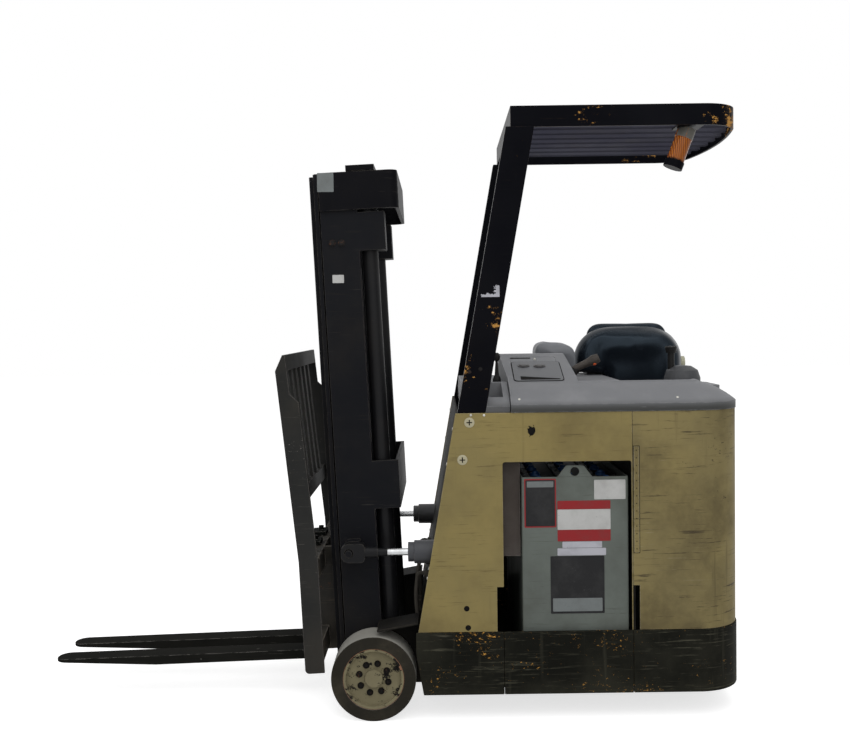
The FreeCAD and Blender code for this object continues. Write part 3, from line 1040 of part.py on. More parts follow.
top_u = back_u(BACKREST_TOP_Z)
nose_z = BACKREST_TOP_Z - BACKREST_TOP_BAR_H
step_z = BACKREST_NARROW_Z - BACKREST_NARROW_D + BACKREST_LIP
pts = [(side_rear_low, BACKREST_BOTTOM_Z), (u_front, BACKREST_BOTTOM_Z, POD_R), (u_front, BACKREST_BEND_Z)]
pts += [(back_u(nose_z), nose_z, POD_R), (top_u - BACKREST_NARROW_D + BACKREST_LIP, BACKREST_TOP_Z)]
pts += [(top_u - BACKREST_NARROW_D, BACKREST_TOP_Z), (back_u(BACKREST_NARROW_Z) - BACKREST_NARROW_D, BACKREST_NARROW_Z)]
pts += [(back_u(step_z) - BACKREST_SIDE_D, step_z), (side_rear_low, BACKREST_BEND_Z)]
backrest = both(prism_xz(pts, CARRIAGE_HALF_W, CARRIAGE_HALF_W + BACKREST_SIDE_T))
top_bar = [(top_u - BACKREST_NARROW_D, BACKREST_TOP_Z), (top_u - BACKREST_NARROW_D + BACKREST_LIP, BACKREST_TOP_Z)]
top_bar += [(back_u(nose_z), nose_z), (back_u(nose_z) - BACKREST_NARROW_D, nose_z)]
backrest = backrest.fuse(prism_xz(top_bar, -CARRIAGE_HALF_W, CARRIAGE_HALF_W))
low_bar_top = BACKREST_LOW_BAR_Z + BACKREST_TOP_BAR_H
backrest = backrest.fuse(back_strip(30.0, 8.0, BACKREST_LOW_BAR_Z, low_bar_top, -CARRIAGE_HALF_W, CARRIAGE_HALF_W))
bar_pitch = 2 * CARRIAGE_HALF_W / (BACKREST_BAR_COUNT + 1)
for i in range(BACKREST_BAR_COUNT):
    y = -CARRIAGE_HALF_W + (i + 1) * bar_pitch
    half = BACKREST_BAR_W / 2
    backrest = backrest.fuse(back_strip(26.0, 12.0, BACKREST_LOW_BAR_Z, nose_z + BACKREST_LIP, y - half, y + half))
nodes["load_backrest"] = tilted(backrest.removeSplitter())

# forks
fork_rear_u = bar_u1 + FORK_OFF
fork_front_u = fork_rear_u + FORK_T
rise = math.tan(math.radians(FORK_RISE_DEG))
tip_u = fork_front_u + FORK_LENGTH
heel_top = FORK_HEEL_Z + FORK_T
taper_u = tip_u - FORK_TAPER_L
tip_z = FORK_HEEL_Z + FORK_LENGTH * rise + FORK_T
shank_top = upper_top + FORK_HOOK_H
half = FORK_W / 2
pts = [(fork_rear_u, FORK_HEEL_Z, FORK_HEEL_OUT_R), (fork_front_u, FORK_HEEL_Z)]
pts += [(taper_u, FORK_HEEL_Z + (taper_u - fork_front_u) * rise), (tip_u, tip_z - FORK_TIP_T), (tip_u, tip_z)]
pts += [(fork_front_u, heel_top, FORK_HEEL_IN_R), (fork_front_u, shank_top, 10.0), (CARRIAGE_U + FORK_HOOK_H, shank_top)]
pts += [(CARRIAGE_U + FORK_HOOK_H, upper_top + SEAT), (fork_rear_u, upper_top + SEAT)]
plan = [(CARRIAGE_U, -half), (tip_u, -half, half * 0.9), (tip_u, half, half * 0.9), (CARRIAGE_U, half)]
fork = prism_xz(pts, -half, half).common(prism_xy(plan, 0, GUARD_TOP_Z))
latch = cyl(FORK_LATCH_R, FORK_HOOK_H, ((CARRIAGE_U + fork_front_u) / 2, 0, shank_top), (0, 0, 1))
fork = fork.fuse(latch).removeSplitter()
for name, side in (("fork_left", 1), ("fork_right", -1)):
    placed = fork.copy()
    placed.translate(V(0, side * FORK_SPACING / 2, 0))
    nodes[name] = tilted(placed)

# ---- tilt cylinders -----------------------------------------------------------------------
barrel_l = TILT_BARREL_FRONT_X - TILT_REAR_X
rod_bore = TILT_ROD_R + RUN_FIT
tube_0 = TILT_EYE_R + 18.0
barrel_prof = [(0, tube_0), (TILT_CYL_R, tube_0), (TILT_CYL_R, barrel_l - TILT_GLAND_L), (TILT_GLAND_R, barrel_l - TILT_GLAND_L)]
barrel_prof += [(TILT_GLAND_R, barrel_l), (rod_bore, barrel_l), (rod_bore, tube_0 + HEAD_T), (0, tube_0 + HEAD_T)]
barrel = revolved(barrel_prof, (TILT_REAR_X, tilt_y, TILT_PIN_Z), (1, 0, 0))
eye_y0 = tilt_y - TILT_EYE_W / 2
eye_y1 = tilt_y + TILT_EYE_W / 2
barrel = barrel.fuse(cyl(TILT_EYE_R, TILT_EYE_W, (TILT_REAR_X, eye_y0, TILT_PIN_Z), (0, 1, 0)))
barrel = barrel.fuse(box(TILT_REAR_X, TILT_REAR_X + tube_0, eye_y0, eye_y1, TILT_PIN_Z - TILT_EYE_W / 2, TILT_PIN_Z + TILT_EYE_W / 2))
barrel = barrel.cut(cyl(TILT_PIN_R + RUN_FIT, 2 * TILT_EYE_W, (TILT_REAR_X, eye_y0 - TILT_EYE_W / 2, TILT_PIN_Z), (0, 1, 0)))
nodes["tilt_barrel_left"] = barrel.removeSplitter()
nodes["tilt_barrel_right"] = mirror(nodes["tilt_barrel_left"])
sleeve_x1 = TILT_PIN_X - 2 * TILT_EYE_R
sleeve_x0 = sleeve_x1 - TILT_SLEEVE_L
thread_x0 = sleeve_x0 - TILT_THREAD_L
rod_x0 = TILT_BARREL_FRONT_X - TILT_ROD_IN
rod_prof = [(0, 0), (TILT_ROD_R, 0), (TILT_ROD_R, thread_x0 - rod_x0), (TILT_THREAD_R, thread_x0 - rod_x0)]
rod_prof += [(TILT_THREAD_R, sleeve_x0 - rod_x0), (TILT_SLEEVE_R, sleeve_x0 - rod_x0), (TILT_SLEEVE_R, sleeve_x1 - rod_x0)]
rod_prof += [(0, sleeve_x1 - rod_x0)]
tilt_rod = revolved(rod_prof, (rod_x0, tilt_y, TILT_PIN_Z), (1, 0, 0))
eye_h = TILT_EYE_R + 6.0
clevis = [(sleeve_x1, TILT_PIN_Z - eye_h, TILT_THREAD_R), (TILT_PIN_X + TILT_EYE_R, TILT_PIN_Z - eye_h, TILT_EYE_R)]
clevis += [(TILT_PIN_X + TILT_EYE_R, TILT_PIN_Z + eye_h, TILT_EYE_R), (sleeve_x1, TILT_PIN_Z + eye_h, TILT_THREAD_R)]
tilt_rod = tilt_rod.fuse(prism_xz(clevis, eye_y0, eye_y1))
tilt_rod = tilt_rod.cut(cyl(TILT_PIN_R + TILT_EYE_PLAY, 2 * TILT_EYE_W, (TILT_PIN_X, eye_y0 - TILT_EYE_W / 2, TILT_PIN_Z), (0, 1, 0)))
nodes["tilt_rod_left"] = tilt_rod.removeSplitter()
nodes["tilt_rod_right"] = mirror(nodes["tilt_rod_left"])
lug_y = tilt_y + TILT_EYE_W / 2 + 18.0
lug_z = TILT_EYE_R + 9.0
lug_pts = [(TILT_REAR_X - TILT_EYE_R, TILT_PIN_Z - lug_z, POD_R), (TILT_REAR_X + TILT_EYE_R, TILT_PIN_Z - lug_z, POD_R)]
lug_pts += [(TILT_REAR_X + TILT_EYE_R, TILT_PIN_Z + lug_z, POD_R), (TILT_REAR_X - TILT_EYE_R, TILT_PIN_Z + lug_z, POD_R)]
lug = prism_xz(lug_pts, lug_y, wall_in_y)
lug = lug.fuse(cyl(TILT_PIN_R, lug_y - eye_y0 + 4.0, (TILT_REAR_X, lug_y, TILT_PIN_Z), (0, -1, 0)))
nodes["tilt_anchor_pins"] = pair(lug)

# ---- export -------------------------------------------------------------------------------
low_x = min(shape.BoundBox.XMin for shape in nodes.values())
high_x = max(shape.BoundBox.XMax for shape in nodes.values())
ORIGIN_X = (low_x + high_x) / 2.0
os.makedirs("parts", exist_ok=True)
for name, shape in nodes.items():
    if not shape.isValid():
        print("invalid", name)
    shape.translate(V(-ORIGIN_X, 0, 0))
    shape.exportStep("parts/" + name + ".step")
print("origin", round(ORIGIN_X, 3), "nodes", len(nodes))
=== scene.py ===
"""Dress the stand-up counterbalanced forklift: finishes, pads, fittings, studio and camera.

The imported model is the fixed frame. Each sub-assembly is a class that takes its CAD nodes,
softens their edges, adds the small pieces that they carry, and gives every surface its finish.
"""

import json
import logging
import math
from contextlib import contextmanager
from dataclasses import dataclass
from enum import Enum
from typing import Callable, Iterator, Sequence

import bpy
from mathutils import Matrix, Vector, noise
from mathutils.bvhtree import BVHTree

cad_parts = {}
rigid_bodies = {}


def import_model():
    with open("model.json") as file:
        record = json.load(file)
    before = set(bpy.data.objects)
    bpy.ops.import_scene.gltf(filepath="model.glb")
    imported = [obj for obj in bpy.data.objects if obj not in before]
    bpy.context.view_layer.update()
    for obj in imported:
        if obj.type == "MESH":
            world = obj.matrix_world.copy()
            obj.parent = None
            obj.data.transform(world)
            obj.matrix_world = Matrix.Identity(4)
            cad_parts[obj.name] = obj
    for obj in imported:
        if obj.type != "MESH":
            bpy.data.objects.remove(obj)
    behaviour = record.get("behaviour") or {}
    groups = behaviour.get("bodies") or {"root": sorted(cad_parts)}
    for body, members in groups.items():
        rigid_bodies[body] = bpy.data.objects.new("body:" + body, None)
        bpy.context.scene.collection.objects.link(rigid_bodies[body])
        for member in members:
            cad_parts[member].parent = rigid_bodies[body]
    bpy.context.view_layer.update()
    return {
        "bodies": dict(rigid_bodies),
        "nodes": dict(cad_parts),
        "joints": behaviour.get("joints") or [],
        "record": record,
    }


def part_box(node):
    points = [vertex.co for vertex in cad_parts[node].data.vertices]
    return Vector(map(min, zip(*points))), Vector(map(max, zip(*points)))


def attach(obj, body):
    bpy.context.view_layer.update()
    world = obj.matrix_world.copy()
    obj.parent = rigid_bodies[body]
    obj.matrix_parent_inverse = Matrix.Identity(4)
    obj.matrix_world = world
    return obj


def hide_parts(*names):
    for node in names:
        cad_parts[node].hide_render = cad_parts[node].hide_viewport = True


LOG = logging.getLogger("forklift")

MM = 0.001
# A face or an edge follows an axis when this much of its direction lies along it.
FOLLOWS = 0.9
# Shading stays smooth this far past the angle that a bevel starts at.
SMOOTH_PAST_DEG = 6.0
Colour = tuple[float, float, float]
RUST: Colour = (0.22, 0.085, 0.035)
FaceTest = Callable[[Vector, Vector], bool]


class Side(Enum):
    """A side of the truck, as the sign of Y."""

    LEFT = 1
    RIGHT = -1


# ------------------------------------------------------------------ workbench


def deselect() -> None:
    """Return to object mode with nothing selected."""
    if bpy.context.mode != "OBJECT":
        bpy.ops.object.mode_set(mode="OBJECT")
    bpy.ops.object.select_all(action="DESELECT")


def focus(*pieces: bpy.types.Object) -> None:
    """Select these pieces alone, the first of them active."""
    deselect()
    for piece in pieces:
        piece.select_set(True)
    bpy.context.view_layer.objects.active = pieces[0]


@contextmanager
def editing(piece: bpy.types.Object, everything: bool = True) -> Iterator[None]:
    """Hold a piece in edit mode, on its faces.

    Args:
        piece: The piece to edit.
        everything: Whether all of it starts selected.
    """
    focus(piece)
    bpy.ops.object.mode_set(mode="EDIT")
    bpy.ops.mesh.select_mode(type="FACE")
    bpy.ops.mesh.select_all(action="SELECT" if everything else "DESELECT")
    yield
    bpy.ops.object.mode_set(mode="OBJECT")


def upward(middle: Vector, normal: Vector) -> bool:
    """Tell whether a face looks up."""
    return normal.z > FOLLOWS


def pick_faces(piece: bpy.types.Object, wanted: FaceTest = upward) -> None:
    """Select the faces that pass a test, while a piece is being edited.

    Args:
        piece: The piece in edit mode.
        wanted: A test of a face's centre and normal.
    """
    bpy.ops.mesh.select_all(action="DESELECT")
    bpy.ops.object.mode_set(mode="OBJECT")
    for face in piece.data.polygons:
        face.select = wanted(face.center, face.normal)
    bpy.ops.object.mode_set(mode="EDIT")


def pick_edges(piece: bpy.types.Object, wanted: FaceTest) -> None:
    """Select the edges that pass a test, while a piece is being edited.

    Args:
        piece: The piece in edit mode.
        wanted: A test of an edge's middle and direction.
    """
    bpy.ops.mesh.select_mode(type="EDGE")
    bpy.ops.mesh.select_all(action="DESELECT")
    bpy.ops.object.mode_set(mode="OBJECT")
    points = piece.data.vertices
    for edge in piece.data.edges:
        first, second = (points[index].co for index in edge.vertices)
        edge.select = wanted((first + second) / 2, (second - first).normalized())
    bpy.ops.object.mode_set(mode="EDIT")


def draw_out(across: float, out: float, up: float) -> None:
    """Extrude the selected faces of the piece that is being edited."""
    bpy.ops.mesh.extrude_region_move(TRANSFORM_OT_translate={"value": (across, out, up)})


def settle(piece: bpy.types.Object) -> bpy.types.Object:
    """Apply a piece's place, turn and size to its mesh."""
    focus(piece)
    bpy.ops.object.transform_apply(location=True, rotation=True, scale=True)
    return piece


def modify(piece: bpy.types.Object, kind: str, **settings: object) -> None:
    """Add a modifier, set it and apply it.

    Args:
        piece: The piece to change.
        kind: Blender's name for the modifier's type.
        settings: The modifier's values.
    """
    focus(piece)
    modifier = piece.modifiers.new(kind.title(), kind)
    for name, value in settings.items():
        setattr(modifier, name, value)
    bpy.ops.object.modifier_apply(modifier=modifier.name)


def round_edges(piece: bpy.types.Object, width: float, segments: int = 2, angle: float = 32.0) -> None:
    """Bevel the sharp edges of a piece and shade it smooth between them.

    Args:
        piece: The piece to finish.
        width: The bevel's width in metres.
        segments: The steps across the bevel.
        angle: The least angle of a sharp edge, in degrees.
    """
    settings = {"width": width, "segments": segments, "limit_method": "ANGLE", "miter_outer": "MITER_ARC"}
    modify(piece, "BEVEL", angle_limit=math.radians(angle), harden_normals=False, **settings)
    focus(piece)
    bpy.ops.object.shade_smooth_by_angle(angle=math.radians(angle + SMOOTH_PAST_DEG))
    modify(piece, "WEIGHTED_NORMAL", keep_sharp=True)


def block(name: str, low: Sequence[float], high: Sequence[float]) -> bpy.types.Object:
    """Start a piece from a box.

    Args:
        name: The piece's name.
        low: Its lowest corner.
        high: Its highest corner.

    Returns:
        The box, its place in its mesh.
    """
    deselect()
    low, high = Vector(low), Vector(high)
    bpy.ops.mesh.primitive_cube_add(size=1.0, location=(low + high) / 2)
    piece = bpy.context.object
    piece.name = name
    piece.scale = high - low
    return settle(piece)


def turned(
    name: str,
    radius: float,
    depth: float,
    sides: int,
    steps: Sequence[tuple[float, float]],
    foot: float = 0.0,
) -> bpy.types.Object:
    """Start a round fitting that stands on Z, and step its top face.

    Args:
        name: The piece's name.
        radius: Its radius.
        depth: Its height before the steps.
        sides: The number of its sides.
        steps: How far each step goes in, and how far up.
        foot: The height that it starts at.

    Returns:
        The piece, its place in its mesh.
    """
    deselect()
    bpy.ops.mesh.primitive_cylinder_add(
        vertices=sides, radius=radius, depth=depth, location=(0, 0, foot + depth / 2)
    )
    piece = bpy.context.object
    piece.name = name
    settle(piece)
    with editing(piece):
        pick_faces(piece)
        for inward, rise in steps:
            bpy.ops.mesh.inset(thickness=inward)
            bpy.ops.transform.translate(value=(0, 0, rise))
    return piece


def cut(piece: bpy.types.Object, cutter: bpy.types.Object) -> None:
    """Cut a piece with another, which is used up."""
    modify(piece, "BOOLEAN", operation="DIFFERENCE", solver="EXACT", object=cutter)
    bpy.data.objects.remove(cutter)


def joined(pieces: Sequence[bpy.types.Object], name: str) -> bpy.types.Object:
    """Join pieces into the first of them and name it."""
    focus(*pieces)
    if len(pieces) > 1:
        bpy.ops.object.join()
    pieces[0].name = name
    return pieces[0]


def spread(master: bpy.types.Object, places: Sequence[Matrix], name: str) -> bpy.types.Object:
    """Copy a finished master to each place and join the copies.

    Args:
        master: The piece, modelled at the origin; it is removed.
        places: Where each copy goes.
        name: The joined piece's name.

    Returns:
        The joined piece.
    """
    made = []
    for place in places:
        one = master.copy()
        one.data = master.data.copy()
        bpy.context.collection.objects.link(one)
        one.matrix_world = place
        made.append(one)
    focus(*made)
    bpy.ops.object.transform_apply(location=True, rotation=True, scale=True)
    bpy.data.objects.remove(master)
    return joined(made, name)


def facing(point: Sequence[float], normal: Sequence[float], spin: float = 0.0) -> Matrix:
    """Give the place of a fitting that is modelled standing on Z.

    Args:
        point: Where its foot goes.
        normal: The direction that it points in.
        spin: Its turn about that direction, in radians.

    Returns:
        The matrix that places it.
    """
    turn = Vector(normal).to_track_quat("Z", "Y").to_matrix().to_4x4()
    return Matrix.Translation(Vector(point)) @ turn @ Matrix.Rotation(spin, 4, "Z")


# --------------------------------------------------------------------- effects


class Wiring:
    """Adds and links the nodes of one shader tree."""

    def __init__(self, tree: bpy.types.NodeTree) -> None:
        """Keep the tree that the nodes go in."""
        self.tree = tree

    def feed(self, socket: bpy.types.NodeSocket, value: object) -> None:
        """Link a socket to another, or set it to a value."""
        if isinstance(value, bpy.types.NodeSocket):
            self.tree.links.new(value, socket)
        elif socket.type == "RGBA" and len(value) == 3:
            socket.default_value = (*value, 1.0)
        else:
            socket.default_value = value

    def fill(self, node: bpy.types.Node, values: dict) -> bpy.types.Node:
        """Feed a node's inputs, by name or index, and return the node."""
        for name, value in values.items():
            self.feed(node.inputs[name], value)
        return node

    def add(self, kind: str, inputs: dict | None = None, **settings: object) -> bpy.types.Node:
        """Add one node.

        Args:
            kind: The node's type, without the word ShaderNode.
            inputs: Values or sockets for its inputs, by name or index.
            settings: The node's own settings.

        Returns:
            The node.
        """
        node = self.tree.nodes.new("ShaderNode" + kind)
        for name, value in settings.items():
            setattr(node, name, value)
        return self.fill(node, inputs or {})

    def maths(self, operation: str, *values: object, clamp: bool = False) -> bpy.types.NodeSocket:
        """Add a Math node and return its output."""
        return self.add("Math", dict(enumerate(values)), operation=operation, use_clamp=clamp).outputs[0]

    def mix(self, amount: object, first: object, second: object) -> bpy.types.NodeSocket:
        """Mix two colours and return the result."""
        return self.add("Mix", {0: amount, 6: first, 7: second}, data_type="RGBA").outputs[2]

    def spread(self, value: object, low: object, high: object, to_low: object, to_high: object) -> object:
        """Map a value from one range to another, clamped, and return the result."""
        inputs = dict(enumerate((value, low, high, to_low, to_high)))
        return self.add("MapRange", inputs, interpolation_type="SMOOTHSTEP").outputs[0]

    def stretched(self, scale: Sequence[float] = (1, 1, 1)) -> bpy.types.NodeSocket:
        """Return the piece's own coordinates, scaled per axis."""
        place = self.add("TexCoord").outputs["Object"]
        return self.add("Mapping", {"Vector": place, "Scale": scale}).outputs[0]

    def bump(self, height: object, strength: float, distance: float) -> bpy.types.NodeSocket:
        """Return the normal of a bumped surface."""
        inputs = {"Height": height, "Strength": strength, "Distance": distance}
        return self.add("Bump", inputs).outputs[0]

    def noise(self, vector: object, scale: object, detail: float = 4.0, rough: float = 0.6) -> object:
        """Return a noise texture's value."""
        inputs = {"Vector": vector, "Scale": scale, "Detail": detail, "Roughness": rough}
        return self.add("TexNoise", inputs).outputs[0]


@dataclass(frozen=True)
class Effect:
    """A surface effect shared by many finishes, as a shader node group."""

    name: str
    inputs: dict[str, float]
    build: Callable[[Wiring, dict[str, bpy.types.NodeSocket]], bpy.types.NodeSocket]

    def group(self) -> bpy.types.NodeTree:
        """Return the node group, building it the first time."""
        found = bpy.data.node_groups.get(self.name)
        if found:
            return found
        tree = bpy.data.node_groups.new(self.name, "ShaderNodeTree")
        for label, value in self.inputs.items():
            socket = tree.interface.new_socket(label, in_out="INPUT", socket_type="NodeSocketFloat")
            socket.default_value = value
        wiring = Wiring(tree)
        entry = tree.nodes.new("NodeGroupInput")
        mask = self.build(wiring, {label: entry.outputs[label] for label in self.inputs})
        tree.interface.new_socket("Mask", in_out="OUTPUT", socket_type="NodeSocketFloat")
        wiring.feed(tree.nodes.new("NodeGroupOutput").inputs["Mask"], mask)
        return tree

    def use(self, wiring: Wiring, **values: object) -> bpy.types.NodeSocket:
        """Place the effect in a material and return its mask.

        Args:
            wiring: The material's wiring.
            values: The effect's inputs, by name.
        """
        node = wiring.tree.nodes.new("ShaderNodeGroup")
        node.node_tree = self.group()
        return wiring.fill(node, {label.title(): value for label, value in values.items()}).outputs["Mask"]


def build_edge_wear(wiring: Wiring, given: dict) -> bpy.types.NodeSocket:
    """Find the outer edges by comparing the rounded normal with the flat one."""
    rounded = wiring.add("Bevel", {"Radius": given["Reach"]}, samples=4).outputs[0]
    flat = wiring.add("NewGeometry").outputs["True Normal"]
    dot = wiring.add("VectorMath", {0: rounded, 1: flat}, operation="DOT_PRODUCT").outputs["Value"]
    bend = wiring.maths("SUBTRACT", 1.0, dot)
    patchy = wiring.noise(wiring.stretched(), given["Scale"], 5.0, 0.7)
    broken = wiring.maths("MULTIPLY", bend, wiring.spread(patchy, 0.38, 0.62, 0.15, 1.6))
    return wiring.spread(broken, 0.03, 0.16, 0.0, given["Amount"])


def build_grime(wiring: Wiring, given: dict) -> bpy.types.NodeSocket:
    """Cloud the surface with dirt, thicker near the floor."""
    place = wiring.stretched()
    cloud = wiring.noise(place, given["Scale"], 6.0, 0.65)
    height = wiring.add("SeparateXYZ", {0: place}).outputs[2]
    low = wiring.spread(height, 0.05, given["Height"], given["Rise"], 0.0)
    return wiring.spread(wiring.maths("ADD", cloud, low), 0.42, 0.78, 0.0, given["Amount"])


def build_streaks(wiring: Wiring, given: dict) -> bpy.types.NodeSocket:
    """Draw fine broken streaks along X and faint runs down Z."""
    along = wiring.noise(wiring.stretched((3.2, 3.2, 62.0)), given["Along"], 5.0, 0.7)
    down = wiring.noise(wiring.stretched((22.0, 22.0, 0.9)), given["Down"], 5.0, 0.6)
    patch = wiring.spread(wiring.noise(wiring.stretched((1.0, 1.0, 2.5)), 3.4, 3.0), 0.36, 0.62, 0.25, 1.0)
    lines = wiring.maths("MULTIPLY", wiring.spread(along, 0.55, 0.68, 0.0, 1.0), patch)
    runs = wiring.spread(down, 0.55, 0.80, 0.0, 0.45)
    return wiring.maths("MULTIPLY", wiring.maths("MAXIMUM", lines, runs), given["Amount"])


def build_scratches(wiring: Wiring, given: dict) -> bpy.types.NodeSocket:
    """Draw thin scuffed lines, gathered in patches."""
    warp = wiring.noise(wiring.stretched((2.0, 2.0, 2.0)), 3.0, 2.0)
    base = wiring.stretched((1.3, 1.3, 70.0))
    bent = wiring.add("VectorMath", {0: base, 1: warp}, operation="ADD").outputs[0]
    fine = wiring.noise(bent, given["Scale"], 3.0, 0.5)
    line = wiring.spread(fine, 0.66, 0.72, 0.0, 1.0)
    patch = wiring.spread(wiring.noise(wiring.stretched(), 5.5, 3.0), 0.47, 0.62, 0.0, 1.0)
    return wiring.maths("MULTIPLY", wiring.maths("MULTIPLY", line, patch), given["Amount"])


def build_chips(wiring: Wiring, given: dict) -> bpy.types.NodeSocket:
    """Break the paint into small chips, gathered in patches."""
    place = wiring.stretched((1.0, 1.0, 1.6))
    fine = wiring.noise(place, given["Scale"], 8.0, 0.78)
    patch = wiring.spread(wiring.noise(place, given["Patch"], 3.0), 0.42, 0.64, 0.0, 0.09)
    past = wiring.maths("ADD", given["Cut"], 0.02)
    return wiring.spread(wiring.maths("ADD", fine, patch), given["Cut"], past, 0.0, 1.0)


def build_grain(wiring: Wiring, given: dict) -> bpy.types.NodeSocket:
    """Give a fine pebbled height, for vinyl, moulded plastic and cast metal."""
    place = wiring.stretched()
    cells = wiring.add("TexVoronoi", {"Vector": place, "Scale": given["Scale"]}, feature="SMOOTH_F1")
    soft = wiring.noise(place, wiring.maths("MULTIPLY", given["Scale"], 0.5), 3.0)
    return wiring.maths("MULTIPLY_ADD", soft, 0.5, wiring.maths("MULTIPLY", cells.outputs[0], 0.7))


EDGE_WEAR = Effect("edge wear", {"Reach": 0.006, "Scale": 30.0, "Amount": 1.0}, build_edge_wear)
GRIME = Effect("grime", {"Scale": 3.0, "Height": 0.5, "Rise": 0.2, "Amount": 0.6}, build_grime)
STREAKS = Effect("streaks", {"Along": 2.0, "Down": 1.6, "Amount": 0.5}, build_streaks)
SCRATCHES = Effect("scratches", {"Scale": 3.0, "Amount": 0.6}, build_scratches)
CHIPS = Effect("chips", {"Scale": 42.0, "Patch": 4.0, "Cut": 0.7}, build_chips)
GRAIN = Effect("grain", {"Scale": 500.0}, build_grain)
# -------------------------------------------------------------------- finishes


@dataclass(frozen=True)
class Finish:
    """A finish with a name and one material, built when it is first asked for."""

    name: str

    def material(self) -> bpy.types.Material:
        """Return the finish's material, building it the first time."""
        found = bpy.data.materials.get(self.name)
        if found:
            return found
        material = bpy.data.materials.new(self.name)
        material.use_nodes = True
        wiring = Wiring(material.node_tree)
        wiring.fill(material.node_tree.nodes["Principled BSDF"], self.surface(wiring))
        return material

    def surface(self, wiring: Wiring) -> dict[str, object]:
        """Return what the Principled node's inputs are fed with."""
        raise NotImplementedError


@dataclass(frozen=True)
class WornPaint(Finish):
    """Sprayed enamel on steel: clouded, streaked, scuffed, and chipped along its edges."""

    colour: Colour
    faded: Colour
    dirt: Colour
    bared: Colour
    roughness: float = 0.55
    specular: float = 0.1
    grime: float = 0.6
    streaks: float = 0.45
    scratches: float = 0.3
    edge: float = 0.9
    reach: float = 0.006
    chips: float = 0.75
    chip_scale: float = 42.0
    height: float = 0.5
    primer: Colour | None = None
    knocked: tuple[tuple[float, float, float, float], ...] = ()
    knock: float = 0.05

    def chip_level(self, wiring: Wiring) -> object:
        """Return the level that chips start at, lower round each knocked place and its reach."""
        level: object = self.chips
        for *centre, reach in self.knocked:
            place = wiring.add("TexCoord").outputs["Object"]
            away = wiring.add("VectorMath", {0: place, 1: centre}, operation="DISTANCE").outputs["Value"]
            level = wiring.maths("SUBTRACT", level, wiring.spread(away, 0.1 * reach, reach, self.knock, 0.0))
        return level

    def surface(self, wiring: Wiring) -> dict[str, object]:
        """Return what the Principled node's inputs are fed with."""
        fading = wiring.spread(wiring.noise(wiring.stretched(), 2.3, 5.0), 0.35, 0.7, 0.0, 1.0)
        grime = GRIME.use(wiring, scale=3.2, height=self.height, rise=0.22, amount=self.grime)
        streaks = STREAKS.use(wiring, amount=self.streaks)
        scratches = SCRATCHES.use(wiring, amount=self.scratches)
        edges = EDGE_WEAR.use(wiring, reach=self.reach, amount=self.edge)
        chips = CHIPS.use(wiring, scale=self.chip_scale, cut=self.chip_level(wiring))
        rubbed = wiring.maths("MAXIMUM", edges, scratches, clamp=True)
        bared = wiring.maths("MAXIMUM", rubbed, chips, clamp=True)
        tint = wiring.mix(fading, self.colour, self.faded)
        tint = wiring.mix(wiring.maths("MAXIMUM", grime, streaks), tint, self.dirt)
        tint = wiring.mix(rubbed, tint, self.bared)
        dull = wiring.maths("MULTIPLY_ADD", grime, 0.25, self.roughness)
        peel = wiring.noise(wiring.stretched(), 160.0, 2.0)
        sunk = wiring.maths("MULTIPLY_ADD", bared, -0.5, wiring.maths("MULTIPLY", peel, 0.05))
        return {
            "Base Color": wiring.mix(chips, tint, self.primer or self.bared),
            "Roughness": wiring.maths("MULTIPLY_ADD", bared, 0.15, dull, clamp=True),
            "Specular IOR Level": self.specular,
            "Normal": wiring.bump(sunk, 0.35, 1.0 * MM),
        }


@dataclass(frozen=True)
class Moulded(Finish):
    """Moulded plastic, rubber or vinyl with a pebbled grain, dust in its hollows, and any painted shade
    towards its foot.
    """

    colour: Colour
    dust: Colour
    worn: Colour
    roughness: float = 0.5
    specular: float = 0.4
    grain: float = 700.0
    depth: float = 0.1
    dusty: float = 0.8
    scuffs: float = 0.3
    edge: float = 0.4
    # Painted shade: the colour that the surface darkens to below the shade heights.
    foot: Colour | None = None
    shade_heights: tuple[float, float] = (0.0, 1.0)
    glint: Colour = (1.0, 1.0, 1.0)

    def surface(self, wiring: Wiring) -> dict[str, object]:
        """Return what the Principled node's inputs are fed with."""
        dust = GRIME.use(wiring, scale=6.0, height=0.1, rise=0.0, amount=self.dusty)
        scuffs = SCRATCHES.use(wiring, scale=4.0, amount=self.scuffs)
        edges = EDGE_WEAR.use(wiring, scale=24.0, amount=self.edge)
        grain = GRAIN.use(wiring, scale=self.grain)
        tint = wiring.mix(dust, self.colour, self.dust)
        # Painted shade: darker towards the foot colour, from the top of the shade heights down to their
        # bottom.
        if self.foot:
            height = wiring.add("SeparateXYZ", {0: wiring.stretched()}).outputs[2]
            tint = wiring.mix(wiring.spread(height, *self.shade_heights, 1.0, 0.0), tint, self.foot)
        worn = wiring.maths("MAXIMUM", scuffs, edges, clamp=True)
        rough = wiring.maths("MULTIPLY_ADD", dust, 0.2, self.roughness)
        return {
            "Base Color": wiring.mix(worn, tint, self.worn),
            "Roughness": wiring.maths("MULTIPLY_ADD", grain, 0.06, rough, clamp=True),
            "Specular IOR Level": self.specular,
            "Specular Tint": self.glint,
            "Normal": wiring.bump(grain, self.depth, 0.6 * MM),
        }


